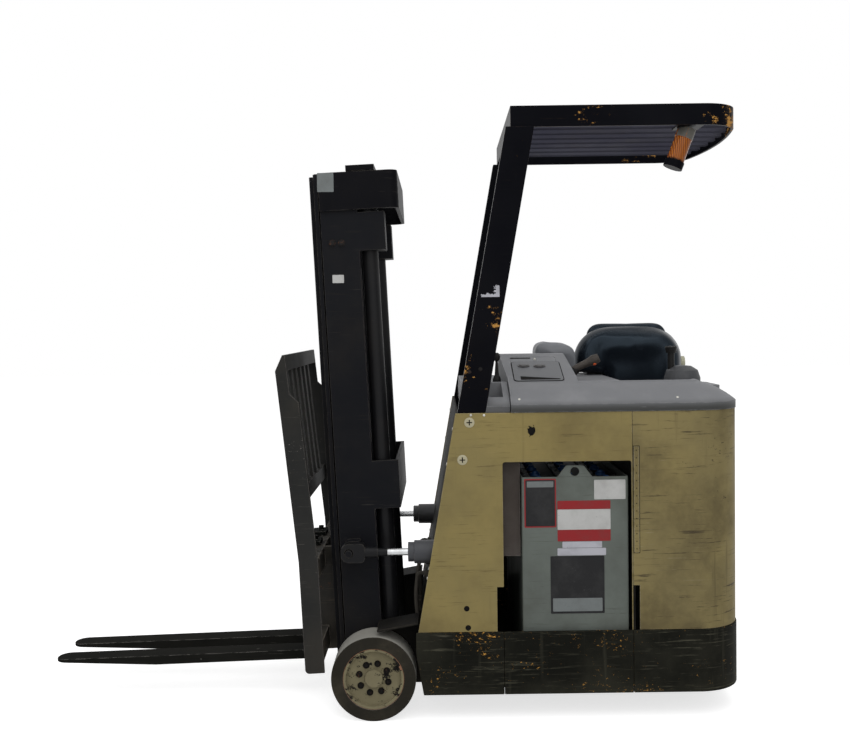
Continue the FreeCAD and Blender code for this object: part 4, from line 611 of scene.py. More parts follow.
@dataclass(frozen=True)
class BareMetal(Finish):
    """Bare, plated or polished steel with turning marks and a film of grease."""

    colour: Colour
    film: Colour
    roughness: float = 0.6
    metallic: float = 1.0
    filmed: float = 0.4
    rust: float = 0.0
    specular: float = 0.5

    def surface(self, wiring: Wiring) -> dict[str, object]:
        """Return what the Principled node's inputs are fed with."""
        film = GRIME.use(wiring, scale=9.0, height=0.1, rise=0.0, amount=self.filmed)
        lines = wiring.noise(wiring.stretched((60.0, 4.0, 60.0)), 6.0, 3.0)
        tint = wiring.mix(film, self.colour, self.film)
        spots = wiring.maths("MULTIPLY", CHIPS.use(wiring, scale=60.0, cut=0.62), self.rust)
        rough = wiring.maths("MULTIPLY_ADD", film, 0.4, self.roughness)
        return {
            "Base Color": wiring.mix(spots, tint, RUST),
            "Specular IOR Level": self.specular,
            "Metallic": wiring.maths("MULTIPLY_ADD", film, -0.5 * self.metallic, self.metallic),
            "Roughness": wiring.maths("MULTIPLY_ADD", lines, 0.1, rough, clamp=True),
            "Normal": wiring.bump(lines, 0.08, 0.4 * MM),
        }


@dataclass(frozen=True)
class Lens(Finish):
    """A coloured clear lens with faint ribs, and a painted highlight of brighter amber along them."""

    colour: Colour
    rib_highlight: Colour

    def surface(self, wiring: Wiring) -> dict[str, object]:
        """Return what the Principled node's inputs are fed with."""
        dust = GRIME.use(wiring, scale=14.0, height=0.1, rise=0.0, amount=0.5)
        tint = wiring.mix(dust, self.colour, tuple(0.6 * part for part in self.colour))
        ribs = wiring.add("TexWave", {"Vector": wiring.stretched(), "Scale": 42.0, "Distortion": 1.5})
        # Painted highlight: the ribs are mixed towards the brighter amber.
        glow = wiring.spread(ribs.outputs["Fac"], 0.55, 1.0, 0.0, 0.55)
        return {
            "Base Color": wiring.mix(glow, tint, self.rib_highlight),
            "Roughness": wiring.maths("MULTIPLY_ADD", dust, 0.3, 0.10),
            "Transmission Weight": 0.15,
            "Specular IOR Level": 0.12,
        }


@dataclass(frozen=True)
class Printed(Finish):
    """A blank printed plate or label: one flat colour under scuffs."""

    colour: Colour
    scuff: Colour
    roughness: float = 0.45

    def surface(self, wiring: Wiring) -> dict[str, object]:
        """Return what the Principled node's inputs are fed with."""
        grime = GRIME.use(wiring, scale=11.0, height=0.1, rise=0.0, amount=0.7)
        flecks = CHIPS.use(wiring, scale=90.0, patch=9.0, cut=0.70)
        mask = wiring.maths("MAXIMUM", wiring.maths("MULTIPLY", grime, 0.6), flecks)
        return {
            "Base Color": wiring.mix(mask, self.colour, self.scuff),
            "Roughness": wiring.maths("MULTIPLY_ADD", grime, 0.3, self.roughness),
            "Specular IOR Level": 0.15,
        }


@dataclass(frozen=True)
class Finishes:
    """Every finish on the truck."""

    # The light bared colour along the panel edges is partly worn paint and partly a painted highlight on the
    # lit top and front edges.
    tan: Finish = WornPaint(
        "tan_enamel", (0.24, 0.19, 0.072), (0.196, 0.158, 0.066), (0.07, 0.05, 0.024), (0.36, 0.31, 0.2),
        roughness=0.5, grime=0.42, streaks=0.75, scratches=0.12, reach=0.004, chips=0.762,
        primer=(0.04, 0.028, 0.016),
    )
    # A darker copy of the tan with heavier grime: partly real dirt, streaks and knocks, and partly painted
    # shade where the rear panels curve round.
    tan_rear_dirt_and_shade: Finish = WornPaint(
        "tan_enamel_rear", (0.222, 0.178, 0.074), (0.18, 0.147, 0.067), (0.06, 0.047, 0.026),
        (0.36, 0.32, 0.22), roughness=0.5, grime=0.72, streaks=1.5, scratches=0.2, reach=0.004, height=0.8,
        primer=(0.042, 0.034, 0.022), knocked=((-1.3, 0.48, 0.95, 0.34), (-1.34, -0.46, 0.8, 0.3)),
        knock=0.075,
    )
    stop: Finish = WornPaint(
        "stop_enamel", (0.058, 0.048, 0.042), (0.088, 0.077, 0.07), (0.03, 0.025, 0.021), (0.2, 0.185, 0.17),
        roughness=0.6, specular=0.05, streaks=0.6, scratches=0.4, edge=0.8, chips=0.74,
    )
    skirt: Finish = WornPaint(
        "skirt_enamel", (0.0065, 0.0068, 0.0055), (0.0101, 0.0101, 0.0078), (0.0966, 0.0924, 0.0672),
        (0.115, 0.105, 0.07), specular=0.02, grime=0.16, streaks=0.72, scratches=0.35, edge=0.3, reach=0.003,
        chips=0.69, chip_scale=55.0, height=0.2, primer=(0.46, 0.235, 0.05), knocked=((-0.3, 0.5, 0.28, 0.26),
        (-0.62, 0.5, 0.25, 0.22), (-0.9, 0.5, 0.26, 0.28), (-1.1, -0.5, 0.25, 0.3)),
    )
    frame: Finish = WornPaint(
        "frame_enamel", (0.007, 0.007, 0.0074), (0.0105, 0.0104, 0.0104), (0.028, 0.025, 0.02),
        (0.07, 0.058, 0.045), specular=0.02, grime=0.45, streaks=0.5, scratches=0.5, edge=0.5, chips=0.745,
    )
    guard: Finish = WornPaint(
        "guard_enamel", (0.0026, 0.0027, 0.0042), (0.0042, 0.0044, 0.0062), (0.01, 0.0092, 0.0085),
        (0.07, 0.045, 0.026), roughness=0.3, specular=0.015, grime=0.3, streaks=0.25, scratches=0.12,
        edge=0.45, reach=0.003, chips=0.735, chip_scale=26.0, primer=(0.42, 0.215, 0.055),
        knocked=((-1.32, 0.4, 2.31, 0.21), (-1.385, 0.2, 2.3, 0.15), (-0.47, 0.5, 1.52, 0.14),
        (-0.8, 0.478, 2.31, 0.11), (-0.3, 0.5, 1.36, 0.1), (-1.2, -0.45, 2.31, 0.18)), knock=0.17,
    )
    # Painted reflection: the slats carry the guard's gloss black paint, but get a lighter bluish colour and
    # no specular, which paints the sky's sheen onto the roof's underside.
    slat: Finish = WornPaint(
        "slat_enamel", (0.052, 0.052, 0.072), (0.074, 0.074, 0.095), (0.075, 0.07, 0.066), (0.1, 0.075, 0.05),
        roughness=0.6, specular=0.0, grime=0.4, streaks=0.3, scratches=0.15, edge=0.2, reach=0.002,
        chips=0.762, chip_scale=26.0, primer=(0.25, 0.14, 0.05),
    )
    mast: Finish = WornPaint(
        "mast_enamel", (0.0075, 0.0079, 0.0098), (0.0105, 0.0108, 0.0124), (0.02, 0.018, 0.016),
        (0.08, 0.073, 0.064), roughness=0.45, specular=0.03, grime=0.5, edge=0.7, reach=0.004, chips=0.765,
    )
    head: Finish = WornPaint(
        "mast_head_enamel", (0.0032, 0.0033, 0.0046), (0.005, 0.005, 0.0064), (0.013, 0.012, 0.011),
        (0.075, 0.068, 0.06), roughness=0.4, specular=0.03, grime=0.35, streaks=0.35, edge=0.75, reach=0.004,
        chips=0.765,
    )
    cylinder: Finish = WornPaint(
        "cylinder_enamel", (0.0058, 0.006, 0.007), (0.0085, 0.0086, 0.0095), (0.018, 0.016, 0.014),
        (0.06, 0.054, 0.047), roughness=0.35, grime=0.5, streaks=0.4, edge=0.6, chips=0.77,
    )
    barrel: Finish = WornPaint(
        "barrel_enamel", (0.036, 0.038, 0.044), (0.052, 0.054, 0.06), (0.06, 0.056, 0.05), (0.16, 0.15, 0.14),
        roughness=0.4, specular=0.25, streaks=0.4, scratches=0.4, edge=0.8,
    )
    carriage: Finish = WornPaint(
        "carriage_enamel", (0.026, 0.025, 0.023), (0.046, 0.042, 0.037), (0.075, 0.064, 0.048),
        (0.2, 0.18, 0.155), specular=0.05, grime=0.7, streaks=0.6, scratches=0.6, edge=1.0, chips=0.71,
        primer=(0.32, 0.1, 0.028),
    )
    backrest: Finish = WornPaint(
        "backrest_enamel", (0.018, 0.0185, 0.018), (0.025, 0.025, 0.024), (0.042, 0.038, 0.032),
        (0.13, 0.12, 0.11), specular=0.04, grime=0.55, edge=0.85, reach=0.004, chips=0.72,
    )
    fork: Finish = WornPaint(
        "worn_fork_steel", (0.0042, 0.005, 0.0047), (0.008, 0.0085, 0.0078), (0.022, 0.021, 0.018),
        (0.21, 0.2, 0.185), roughness=0.45, specular=0.002, grime=0.4, streaks=0.5, scratches=0.55,
        reach=0.004, chips=0.755,
    )
    battery: Finish = WornPaint(
        "battery_enamel", (0.12, 0.136, 0.122), (0.1, 0.112, 0.101), (0.05, 0.048, 0.04), (0.04, 0.036, 0.03),
        roughness=0.45, specular=0.12, grime=0.55, edge=0.6, height=0.6,
    )
    rim: Finish = WornPaint(
        "rim_enamel", (0.33, 0.3, 0.18), (0.25, 0.225, 0.132), (0.1, 0.084, 0.052), (0.045, 0.034, 0.024),
        roughness=0.6, streaks=0.1, edge=0.5, chips=0.605, chip_scale=19.0, primer=(0.01, 0.009, 0.008),
        knocked=((-0.003, 0.5, 0.148, 0.075), (0.092, 0.5, 0.223, 0.06)), knock=0.07,
    )
    # The near-black foot is painted shade on the cover's lower lip band.
    cover: Finish = Moulded(
        "cover_plastic", (0.143, 0.146, 0.154), (0.193, 0.195, 0.202), (0.286, 0.286, 0.297), specular=0.25,
        grain=420.0, depth=0.2, scuffs=0.35, edge=0.5, foot=(0.03, 0.031, 0.029), shade_heights=(1.184, 1.226),
    )
    # Painted shade: a darker copy of the cover plastic for the tray's lower lip band.
    lip: Finish = Moulded(
        "lip_plastic", (0.06, 0.061, 0.064), (0.092, 0.092, 0.092), (0.15, 0.15, 0.155), specular=0.3,
        grain=420.0, depth=0.2, scuffs=0.4, edge=0.5,
    )
    inset: Finish = Moulded(
        "panel_plastic", (0.0944, 0.0976, 0.104), (0.12, 0.124, 0.128), (0.216, 0.216, 0.221), roughness=0.42,
        specular=0.3, grain=600.0, dusty=0.6,
    )
    trim: Finish = Moulded(
        "trim_plastic", (0.007, 0.0068, 0.0068), (0.02, 0.019, 0.018), (0.045, 0.044, 0.043), roughness=0.4,
        specular=0.12, grain=600.0, depth=0.15, dusty=0.5, edge=0.35,
    )
    grip: Finish = Moulded(
        "grip_rubber", (0.03, 0.024, 0.02), (0.055, 0.047, 0.04), (0.115, 0.1, 0.085), specular=0.25,
        depth=0.2, dusty=0.7, edge=0.6,
    )
    dome: Finish = Moulded(
        "dome_plastic", (0.038, 0.04, 0.044), (0.06, 0.06, 0.062), (0.09, 0.09, 0.09), roughness=0.45,
        specular=0.3, grain=500.0, depth=0.15, dusty=0.6, edge=0.3,
    )
    liner: Finish = Moulded(
        "liner_plastic", (0.03, 0.031, 0.033), (0.05, 0.049, 0.047), (0.075, 0.075, 0.075), roughness=0.6,
        specular=0.2, grain=350.0, depth=0.3, scuffs=0.4, edge=0.3,
    )
    vinyl: Finish = Moulded(
        "seat_vinyl", (0.004, 0.0053, 0.0076), (0.0075, 0.0085, 0.0105), (0.018, 0.021, 0.027), roughness=0.2,
        specular=0.24, grain=420.0, depth=0.12, dusty=0.45, scuffs=0.2, edge=0.0, glint=(0.6, 0.8, 1.0),
    )
    arm_vinyl: Finish = Moulded(
        "arm_vinyl", (0.135, 0.141, 0.153), (0.165, 0.169, 0.177), (0.264, 0.27, 0.275), roughness=0.42,
        grain=300.0, depth=0.3, dusty=0.6, edge=0.0,
    )
    cream: Finish = Moulded(
        "cream_plastic", (0.4, 0.39, 0.28), (0.24, 0.23, 0.17), (0.48, 0.47, 0.38), grain=500.0, depth=0.15,
        dusty=0.6,
    )
    rubber: Finish = Moulded(
        "tyre_tread", (0.235, 0.228, 0.205), (0.3, 0.288, 0.255), (0.08, 0.074, 0.062), roughness=0.85,
        specular=0.1, grain=120.0, depth=0.6, dusty=0.9, scuffs=0.8, edge=0.2,
    )
    sidewall: Finish = Moulded(
        "tyre_wall", (0.0165, 0.0148, 0.0112), (0.046, 0.04, 0.029), (0.07, 0.062, 0.048), roughness=0.75,
        specular=0.1, grain=150.0, depth=0.5, dusty=0.85, scuffs=0.7, edge=0.35,
    )
    mat: Finish = Moulded(
        "ribbed_mat_rubber", (0.01, 0.01, 0.01), (0.035, 0.033, 0.028), (0.03, 0.03, 0.03), roughness=0.85,
        specular=0.1, grain=200.0, depth=0.7,
    )
    hose: Finish = Moulded(
        "hose_rubber", (0.05, 0.045, 0.038), (0.085, 0.077, 0.063), (0.12, 0.11, 0.09), roughness=0.7,
        specular=0.15, grain=240.0, depth=0.4,
    )
    cell: Finish = Moulded(
        "cell_plastic", (0.009, 0.009, 0.01), (0.035, 0.034, 0.031), (0.03, 0.03, 0.03), roughness=0.55,
        specular=0.15, grain=500.0, dusty=0.7,
    )
    cap: Finish = Moulded(
        "cap_plastic", (0.01, 0.06, 0.19), (0.035, 0.065, 0.12), (0.03, 0.1, 0.26), roughness=0.4, dusty=0.5,
    )
    orange: Finish = Moulded(
        "button_plastic", (0.62, 0.085, 0.012), (0.42, 0.09, 0.02), (0.65, 0.2, 0.06), roughness=0.35,
        dusty=0.2, edge=0.1,
    )
    rocker: Finish = Moulded(
        "rocker_plastic", (0.0055, 0.0045, 0.0048), (0.014, 0.013, 0.013), (0.08, 0.07, 0.07), roughness=0.25,
        specular=0.5, depth=0.05, dusty=0.4, edge=0.35,
    )
    # The second colour is the painted highlight along the lens's ribs.
    lens: Finish = Lens("amber_lens_clear", (0.2, 0.045, 0.003), (0.66, 0.22, 0.015))
    clear: Finish = Moulded(
        "beacon_base_plastic", (0.105, 0.1, 0.088), (0.055, 0.05, 0.04), (0.24, 0.23, 0.21), roughness=0.3,
        specular=0.1, depth=0.05, dusty=0.7, edge=0.3,
    )
    chrome: Finish = BareMetal(
        "chrome_plate", (0.47, 0.48, 0.49), (0.08, 0.07, 0.05), roughness=0.14, filmed=0.45,
    )
    zinc: Finish = BareMetal(
        "zinc_plate", (0.46, 0.45, 0.41), (0.15, 0.135, 0.11), roughness=0.4, metallic=0.8, filmed=0.5,
    )
    lead: Finish = BareMetal(
        "lead_bar", (0.16, 0.165, 0.17), (0.1, 0.1, 0.095), roughness=0.5, metallic=0.4, filmed=0.6,
    )
    bolt: Finish = BareMetal(
        "dark_bolt", (0.016, 0.015, 0.015), (0.01, 0.009, 0.008), metallic=0.1, rust=0.3, specular=0.06,
    )
    nut: Finish = BareMetal(
        "blackened_nut", (0.007, 0.0065, 0.006), (0.01, 0.009, 0.007), metallic=0.0, rust=0.2, specular=0.05,
    )
    rust: Finish = BareMetal(
        "rusted_steel", (0.185, 0.088, 0.045), (0.06, 0.036, 0.024), metallic=0.2, rust=0.8,
    )
    cream_cap: Finish = WornPaint(
        "cap_enamel", (0.4, 0.37, 0.25), (0.33, 0.3, 0.2), (0.11, 0.09, 0.055), (0.14, 0.11, 0.07),
        roughness=0.45, specular=0.3, streaks=0.2, edge=0.5, reach=0.002, chips=0.745,
    )
    # Painted shade: a near-black for the insides of holes, slots and screw recesses, and for the painted
    # shadows round the hinge strips and the switch panel. It is also the dark colour of the panel's scar.
    shade_and_scar: Finish = Printed("dark_hollow", (0.0025, 0.0022, 0.002), (0.01, 0.009, 0.008), roughness=0.9)
    plate_white: Finish = Printed("plate_white", (0.44, 0.44, 0.43), (0.2, 0.19, 0.18))
    plate_red: Finish = Printed("plate_red", (0.235, 0.016, 0.019), (0.12, 0.05, 0.045))
    plate_black: Finish = Printed("plate_black", (0.01, 0.01, 0.011), (0.05, 0.05, 0.05))
    plate_grey: Finish = Printed("plate_grey", (0.15, 0.165, 0.165), (0.08, 0.08, 0.075))
    sticker: Finish = Printed("torn_sticker", (0.4, 0.4, 0.44), (0.16, 0.16, 0.17), roughness=0.6)


# -------------------------------------------------------------------- fittings


@dataclass(frozen=True)
class DomedScrew:
    """A domed screw head, standing on Z, with a cross recess if it is large."""

    radius: float
    height: float
    crossed: bool = False
    rings: int = 4

    def model(self) -> bpy.types.Object:
        """Return the screw, modelled at the origin."""
        step = 0.8 / self.rings
        rises = [math.sqrt(1.0 - (1.0 - step * index) ** 2) for index in range(self.rings + 1)]
        top = 0.7 * self.height / rises[-1]
        steps = [(step * self.radius, top * (after - before)) for before, after in zip(rises, rises[1:])]
        screw = turned("domed_screw", self.radius, 0.3 * self.height, 32, steps)
        if self.crossed:
            for wide, long in ((0.11, 0.55), (0.55, 0.11)):
                low = (-wide * self.radius, -long * self.radius, 0.4 * self.height)
                high = (wide * self.radius, long * self.radius, 2.0 * self.height)
                cut(screw, block("recess", low, high))
        round_edges(screw, 0.04 * self.radius, 1)
        return screw


@dataclass(frozen=True)
class Stepped:
    """A round fitting on Z, in tiers whose top faces step in and up.

    Each tier has its radius, foot and depth, its number of sides and its steps. Radii and the ways
    in are shares of the fitting's radius, and heights are shares of its height.
    """

    radius: float
    height: float
    name: str
    tiers: tuple[tuple[float, float, float, int, tuple[tuple[float, float], ...]], ...]
    edge: float = 0.05
    segments: int = 1

    def model(self) -> bpy.types.Object:
        """Return the fitting, modelled at the origin."""
        made = []
        for wide, foot, deep, sides, tier in self.tiers:
            steps = [(inward * self.radius, rise * self.height) for inward, rise in tier]
            size = (wide * self.radius, deep * self.height)
            made.append(turned(self.name, *size, sides, steps, foot * self.height))
        fitting = joined(made, self.name)
        round_edges(fitting, self.edge * self.radius, self.segments)
        return fitting


def hex_bolt(radius: float, height: float) -> Stepped:
    """Give a six-sided bolt head on a washer."""
    head = (1.0, 0.0, 1.0, 6, ((0.16, 0.1),))
    washer = (1.3, 0.0, 0.18, 28, ((0.12, 0.0),))
    return Stepped(radius, height, "hex_bolt", (head, washer))


def wheel_nut(radius: float, height: float) -> Stepped:
    """Give a domed wheel nut with a coned seat."""
    nut = (1.0, 0.2, 0.4, 6, ((0.14, 0.08), (0.10, 0.14), (0.22, 0.13), (0.26, 0.06)))
    seat = (1.12, 0.0, 0.2, 28, ((0.2, 0.0),))
    return Stepped(radius, height, "wheel_nut", (nut, seat), 0.06, 2)


def vent_cap(radius: float, height: float) -> Stepped:
    """Give a battery cell's filler cap with a domed vent."""
    cap = (1.0, 0.0, 0.5, 20, ((0.12, 0.06), (0.26, 0.0), (0.05, 0.28), (0.12, 0.12)))
    return Stepped(radius, height, "vent_cap", (cap,))


@dataclass(frozen=True)
class Socket:
    """A shallow round hollow with a thin rim, standing on Z."""

    radius: float
    rim: float

    def model(self) -> bpy.types.Object:
        """Return the socket, modelled at the origin."""
        socket = turned("socket", self.radius + self.rim, self.rim, 32, ())
        with editing(socket):
            pick_faces(socket)
            bpy.ops.mesh.inset(thickness=self.rim)
            draw_out(0, 0, -0.8 * self.rim)
        round_edges(socket, 0.15 * self.rim, 1)
        return socket


@dataclass(frozen=True)
class Plate:
    """A thin blank plate with rounded corners, its face on Z and its top towards Y."""

    width: float
    height: float
    thick: float
    corner: float = 3.0 * MM
    rim: float = 0.0

    def model(self) -> bpy.types.Object:
        """Return the plate, modelled at the origin."""
        half = Vector((self.width / 2, self.height / 2, 0))
        plate = block("plate", -half, half + Vector((0, 0, self.thick)))
        with editing(plate):
            pick_edges(plate, lambda middle, along: abs(along.z) > FOLLOWS)
            bpy.ops.mesh.bevel(offset=self.corner, segments=4, affect="EDGES")
        if self.rim:
            with editing(plate):
                pick_faces(plate)
                bpy.ops.mesh.inset(thickness=self.rim)
                draw_out(0, 0, -0.7 * self.thick)
        round_edges(plate, 0.2 * self.thick, 1)
        return plate


@dataclass(frozen=True)
class TornLabel:
    """A scrap of thin label with a ragged edge, its face on Z and its top towards Y."""

    width: float
    height: float
    kept: Callable[[float, float], bool]
    thick: float = 0.35 * MM
    cells: tuple[int, int] = (36, 26)

    def model(self) -> bpy.types.Object:
        """Return the scrap, modelled at the origin."""
        deselect()
        bpy.ops.mesh.primitive_grid_add(x_subdivisions=self.cells[0], y_subdivisions=self.cells[1], size=1.0)
        scrap = bpy.context.object
        with editing(scrap):
            pick_faces(scrap, lambda middle, normal: not self.kept(2 * middle.x, 2 * middle.y))
            bpy.ops.mesh.delete(type="FACE")
        scrap.scale = (self.width, self.height, 1.0)
        settle(scrap)
        modify(scrap, "SMOOTH", factor=0.5, iterations=2)
        modify(scrap, "SOLIDIFY", thickness=self.thick, offset=1.0)
        return scrap


def ragged(across: float, up: float) -> float:
    """Return an uneven value from -1 to 1, for torn and chipped outlines."""
    coarse, fine = Vector((3.1 * across, 3.1 * up, 4.7)), Vector((9.0 * across, 9.0 * up, 1.3))
    return noise.noise(coarse) + 0.5 * noise.noise(fine)


def eased(share: float) -> float:
    """Return a share from 0 to 1, eased at both its ends."""
    return share * share * (3.0 - 2.0 * share)


def rounded(share: float) -> float:
    """Return the height of a quarter round at a share of its way in."""
    return math.sqrt(max(0.0, 1.0 - (1.0 - min(1.0, share)) ** 2))


@dataclass(frozen=True)
class Stuffing:
    """How a pad is filled: its skin's mesh, the pressure, and how far the skin may move."""

    voxel: float = 6.0 * MM
    most: float = 6.0 * MM
    pressure: float = 4.0
    frames: int = 20
    ease: int = 40
    settle: int = 22

    def fill(
        self, pad: bpy.types.Object, shape: Callable[[Vector], Vector], still: Callable[[Vector], bool]
    ) -> None:
        """Turn a closed pad into a stuffed one.

        Args:
            pad: The pad's closed mesh.
            shape: Moves a point of the skin to its place on the sewn form.
            still: Tells which points are glued down.
        """
        modify(pad, "REMESH", mode="VOXEL", voxel_size=self.voxel)
        modify(pad, "SMOOTH", factor=0.5, iterations=8)
        for vertex in pad.data.vertices:
            vertex.co = shape(vertex.co.copy())
        modify(pad, "SMOOTH", factor=0.5, iterations=self.ease)
        self.blow(pad, still)
        modify(pad, "SMOOTH", factor=0.5, iterations=self.settle)
        modify(pad, "SUBSURF", levels=1, render_levels=1)
        focus(pad)
        bpy.ops.object.shade_smooth()

    def blow(self, pad: bpy.types.Object, still: Callable[[Vector], bool]) -> None:
        """Swell the skin under pressure as cloth, and hold each point to its limit."""
        held = pad.vertex_groups.new(name="held")
        held.add([vertex.index for vertex in pad.data.vertices if still(vertex.co)], 1.0, "REPLACE")
        start = [vertex.co.copy() for vertex in pad.data.vertices]
        cloth = pad.modifiers.new("Cloth", "CLOTH")
        cloth.settings.quality = 5
        cloth.settings.mass = 0.3
        cloth.settings.use_pressure = True
        cloth.settings.uniform_pressure_force = self.pressure
        cloth.settings.vertex_group_mass = "held"
        cloth.settings.effector_weights.gravity = 0.0
        cloth.point_cache.frame_start = 1
        cloth.point_cache.frame_end = self.frames
        scene = bpy.context.scene
        for frame in range(1, self.frames + 1):
            scene.frame_set(frame)
        focus(pad)
        bpy.ops.object.modifier_apply(modifier="Cloth")
        scene.frame_set(1)
        for vertex, was in zip(pad.data.vertices, start):
            move = vertex.co - was
            if move.length > self.most:
                vertex.co = was + move.normalized() * self.most


@dataclass(frozen=True)
class Drawn:
    """A round fitting that is drawn up from a disc, wider or narrower at each step."""

    name: str
    radius: float
    depth: float
    sides: int
    draws: tuple[tuple[float, float], ...]
    edge: float
    segments: int = 2

    def model(self) -> bpy.types.Object:
        """Return the fitting, modelled at the origin."""
        fitting = turned(self.name, self.radius, self.depth, self.sides, ())
        with editing(fitting):
            pick_faces(fitting)
            for rise, factor in self.draws:
                draw_out(0, 0, rise * MM)
                bpy.ops.transform.resize(value=(factor, factor, 1.0))
        round_edges(fitting, self.edge, self.segments, 20.0)
        return fitting


TRAY_LEVER = Drawn(
    "tray_lever", 17.0 * MM, 8.0 * MM, 28,
    ((10, 14 / 17), (8, 9 / 14), (55, 5 / 9), (6, 12 / 5), (14, 15 / 12), (10, 12 / 15), (5, 6 / 12)),
    1.6 * MM, 3,
)
HANDLE_BOOT = Drawn(
    "handle_boot", 26.0 * MM, 6.0 * MM, 32,
    ((3, 0.80), (5, 1.08), (4, 0.80), (5, 1.06), (4, 0.78), (5, 1.05), (6, 0.85)),
    1.4 * MM,
)


@dataclass(frozen=True)
class Rocker:
    """An oval rocker switch in its bezel, standing on Z."""

    half_long: float
    half_wide: float
    thick: float

    def model(self) -> bpy.types.Object:
        """Return the switch, modelled at the origin."""
        shares = ((0.10, 0.3), (0.10, -0.5), (0.06, 0.0), (0.05, 1.1), (0.2, 0.3))
        steps = [(inward, rise * self.thick) for inward, rise in shares]
        switch = turned("rocker", 1.0, self.thick, 36, steps)
        switch.scale = (self.half_long, self.half_wide, 1.0)
        settle(switch)
        round_edges(switch, 0.5 * MM, 2)
        return switch


@dataclass(frozen=True)
class Wedge(Plate):
    """A plate that narrows along X towards its foot."""

    narrowing: float = 0.78

    def model(self) -> bpy.types.Object:
        """Return the plate, modelled at the origin."""
        wedge = super().model()
        foot = self.height / 2
        for vertex in wedge.data.vertices:
            share = 0.5 + vertex.co.x / self.width
            vertex.co.y = -foot + (vertex.co.y + foot) * (1.0 - self.narrowing * share)
        return wedge


# -------------------------------------------------------------- sub-assemblies


class Slot(Enum):
    """The record's material slots."""

    TAN = "tan_paint"
    SKIRT = "skirt_black"
    FRAME = "frame_black"
    GUARD = "guard_black"
    MAST = "mast_black"
    FORK = "fork_steel"
    CHROME = "chrome_rod"
    BATTERY = "battery_green"
    CELL = "cell_black"
    COVER = "cover_grey"
    VINYL = "vinyl"
    PAD = "pad_grey"
    MAT = "mat_rubber"
    CONTROL = "control_black"
    LENS = "amber_lens"
    TYRE = "tyre_grey"
    RIM = "rim_tan"


@dataclass
class Assembly:
    """What every sub-assembly shares: the frame and the finishes."""

    frame: dict
    done: Finishes

    def hand_in(
        self, piece: bpy.types.Object, name: str, node: str, finish: Finish, slot: Slot
    ) -> bpy.types.Object:
        """Name a finished piece, give it its finish and let it ride.

        Args:
            piece: The finished mesh.
            name: Its name.
            node: The CAD node that it is or sits on; it rides on that node's body.
            finish: The finish of its surface.
            slot: The record's slot for that finish; not used.

        Returns:
            The piece.
        """
        bodies = self.frame["record"]["behaviour"]["bodies"]
        body = next(body for body, nodes in bodies.items() if node in nodes)
        piece.name = name
        piece.data.name = name
        piece.data.materials.clear()
        piece.data.materials.append(finish.material())
        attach(piece, body)
        LOG.info("%s rides on %s", name, body)
        return piece

    def merged(self, node: str) -> bpy.types.Object:
        """Copy a CAD node's mesh with its triangles merged into whole faces."""
        piece = bpy.data.objects.new(node + "_finished", self.frame["nodes"][node].data.copy())
        bpy.context.collection.objects.link(piece)
        with editing(piece):
            bpy.ops.mesh.remove_doubles(threshold=0.02 * MM)
            bpy.ops.mesh.dissolve_limited(angle_limit=math.radians(0.6))
        return piece

    def struck(self, node: str, start: Sequence[float], along: Sequence[float], spin: float = 0.0) -> Matrix:
        """Give the place of a fitting where a straight line first meets a CAD node.

        Args:
            node: The node.
            start: Where the line starts.
            along: Its direction.
            spin: The fitting's turn, in radians.

        Returns:
            The matrix that stands the fitting on the surface.
        """
        mesh = self.frame["nodes"][node].data
        faces = [list(face.vertices) for face in mesh.polygons]
        tree = BVHTree.FromPolygons([vertex.co for vertex in mesh.vertices], faces)
        point, normal, _, _ = tree.ray_cast(Vector(start), Vector(along).normalized())
        if point is None:
            raise ValueError(f"no line from {tuple(start)} meets {node}")
        return facing(point, normal, spin)

    def on_side(
        self, node: str, across: float, up: float, side: Side = Side.LEFT, spin: float = 0.0
    ) -> Matrix:
        """Give the place of a fitting on the side of a CAD node, at a place along X and Z."""
        return self.struck(node, (across, 0.8 * side.value, up), (0, -side.value, 0), spin)

    def on_sides(self, node: str, places: Sequence[tuple[float, float]]) -> list[Matrix]:
        """Give each place on the left side of a CAD node, then on its right side."""
        return [self.on_side(node, across, up, side) for side in Side for across, up in places]

    def on_top(self, node: str, across: float, out: float) -> Matrix:
        """Give the place of a fitting on top of a CAD node, at a place along X and Y."""
        return self.struck(node, (across, out, 3.0), (0, 0, -1))

    def fix(
        self, fitting: object, places: Sequence[Matrix], name: str, node: str, finish: Finish, slot: Slot
    ) -> bpy.types.Object:
        """Model a fitting, copy it to its places on a node and hand the copies in as one piece."""
        return self.hand_in(spread(fitting.model(), places, name), name, node, finish, slot)

    def part_finish(self, piece: bpy.types.Object, finish: Finish, wanted: FaceTest) -> None:
        """Give a second finish to the faces that pass a test.

        Args:
            piece: A piece that already has its finish.
            finish: The second finish.
            wanted: A test of a face's centre and normal.
        """
        piece.data.materials.append(finish.material())
        for face in piece.data.polygons:
            if wanted(face.center, face.normal):
                face.material_index = len(piece.data.materials) - 1

    def soften(
        self, node: str, width: float, finish: Finish, slot: Slot, segments: int = 2
    ) -> bpy.types.Object:
        """Stand a copy with rounded edges in for a CAD node.

        Args:
            node: The node.
            width: The width of its rounded edges, in millimetres.
            finish: Its finish.
            slot: The record's slot for that finish.
            segments: The steps across each rounded edge.

        Returns:
            The new piece.
        """
        piece = self.merged(node)
        round_edges(piece, width * MM, segments)
        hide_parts(node)
        return self.hand_in(piece, node + "_finished", node, finish, slot)

    def build(self) -> None:
        """Make and finish every piece of the sub-assembly."""
        raise NotImplementedError


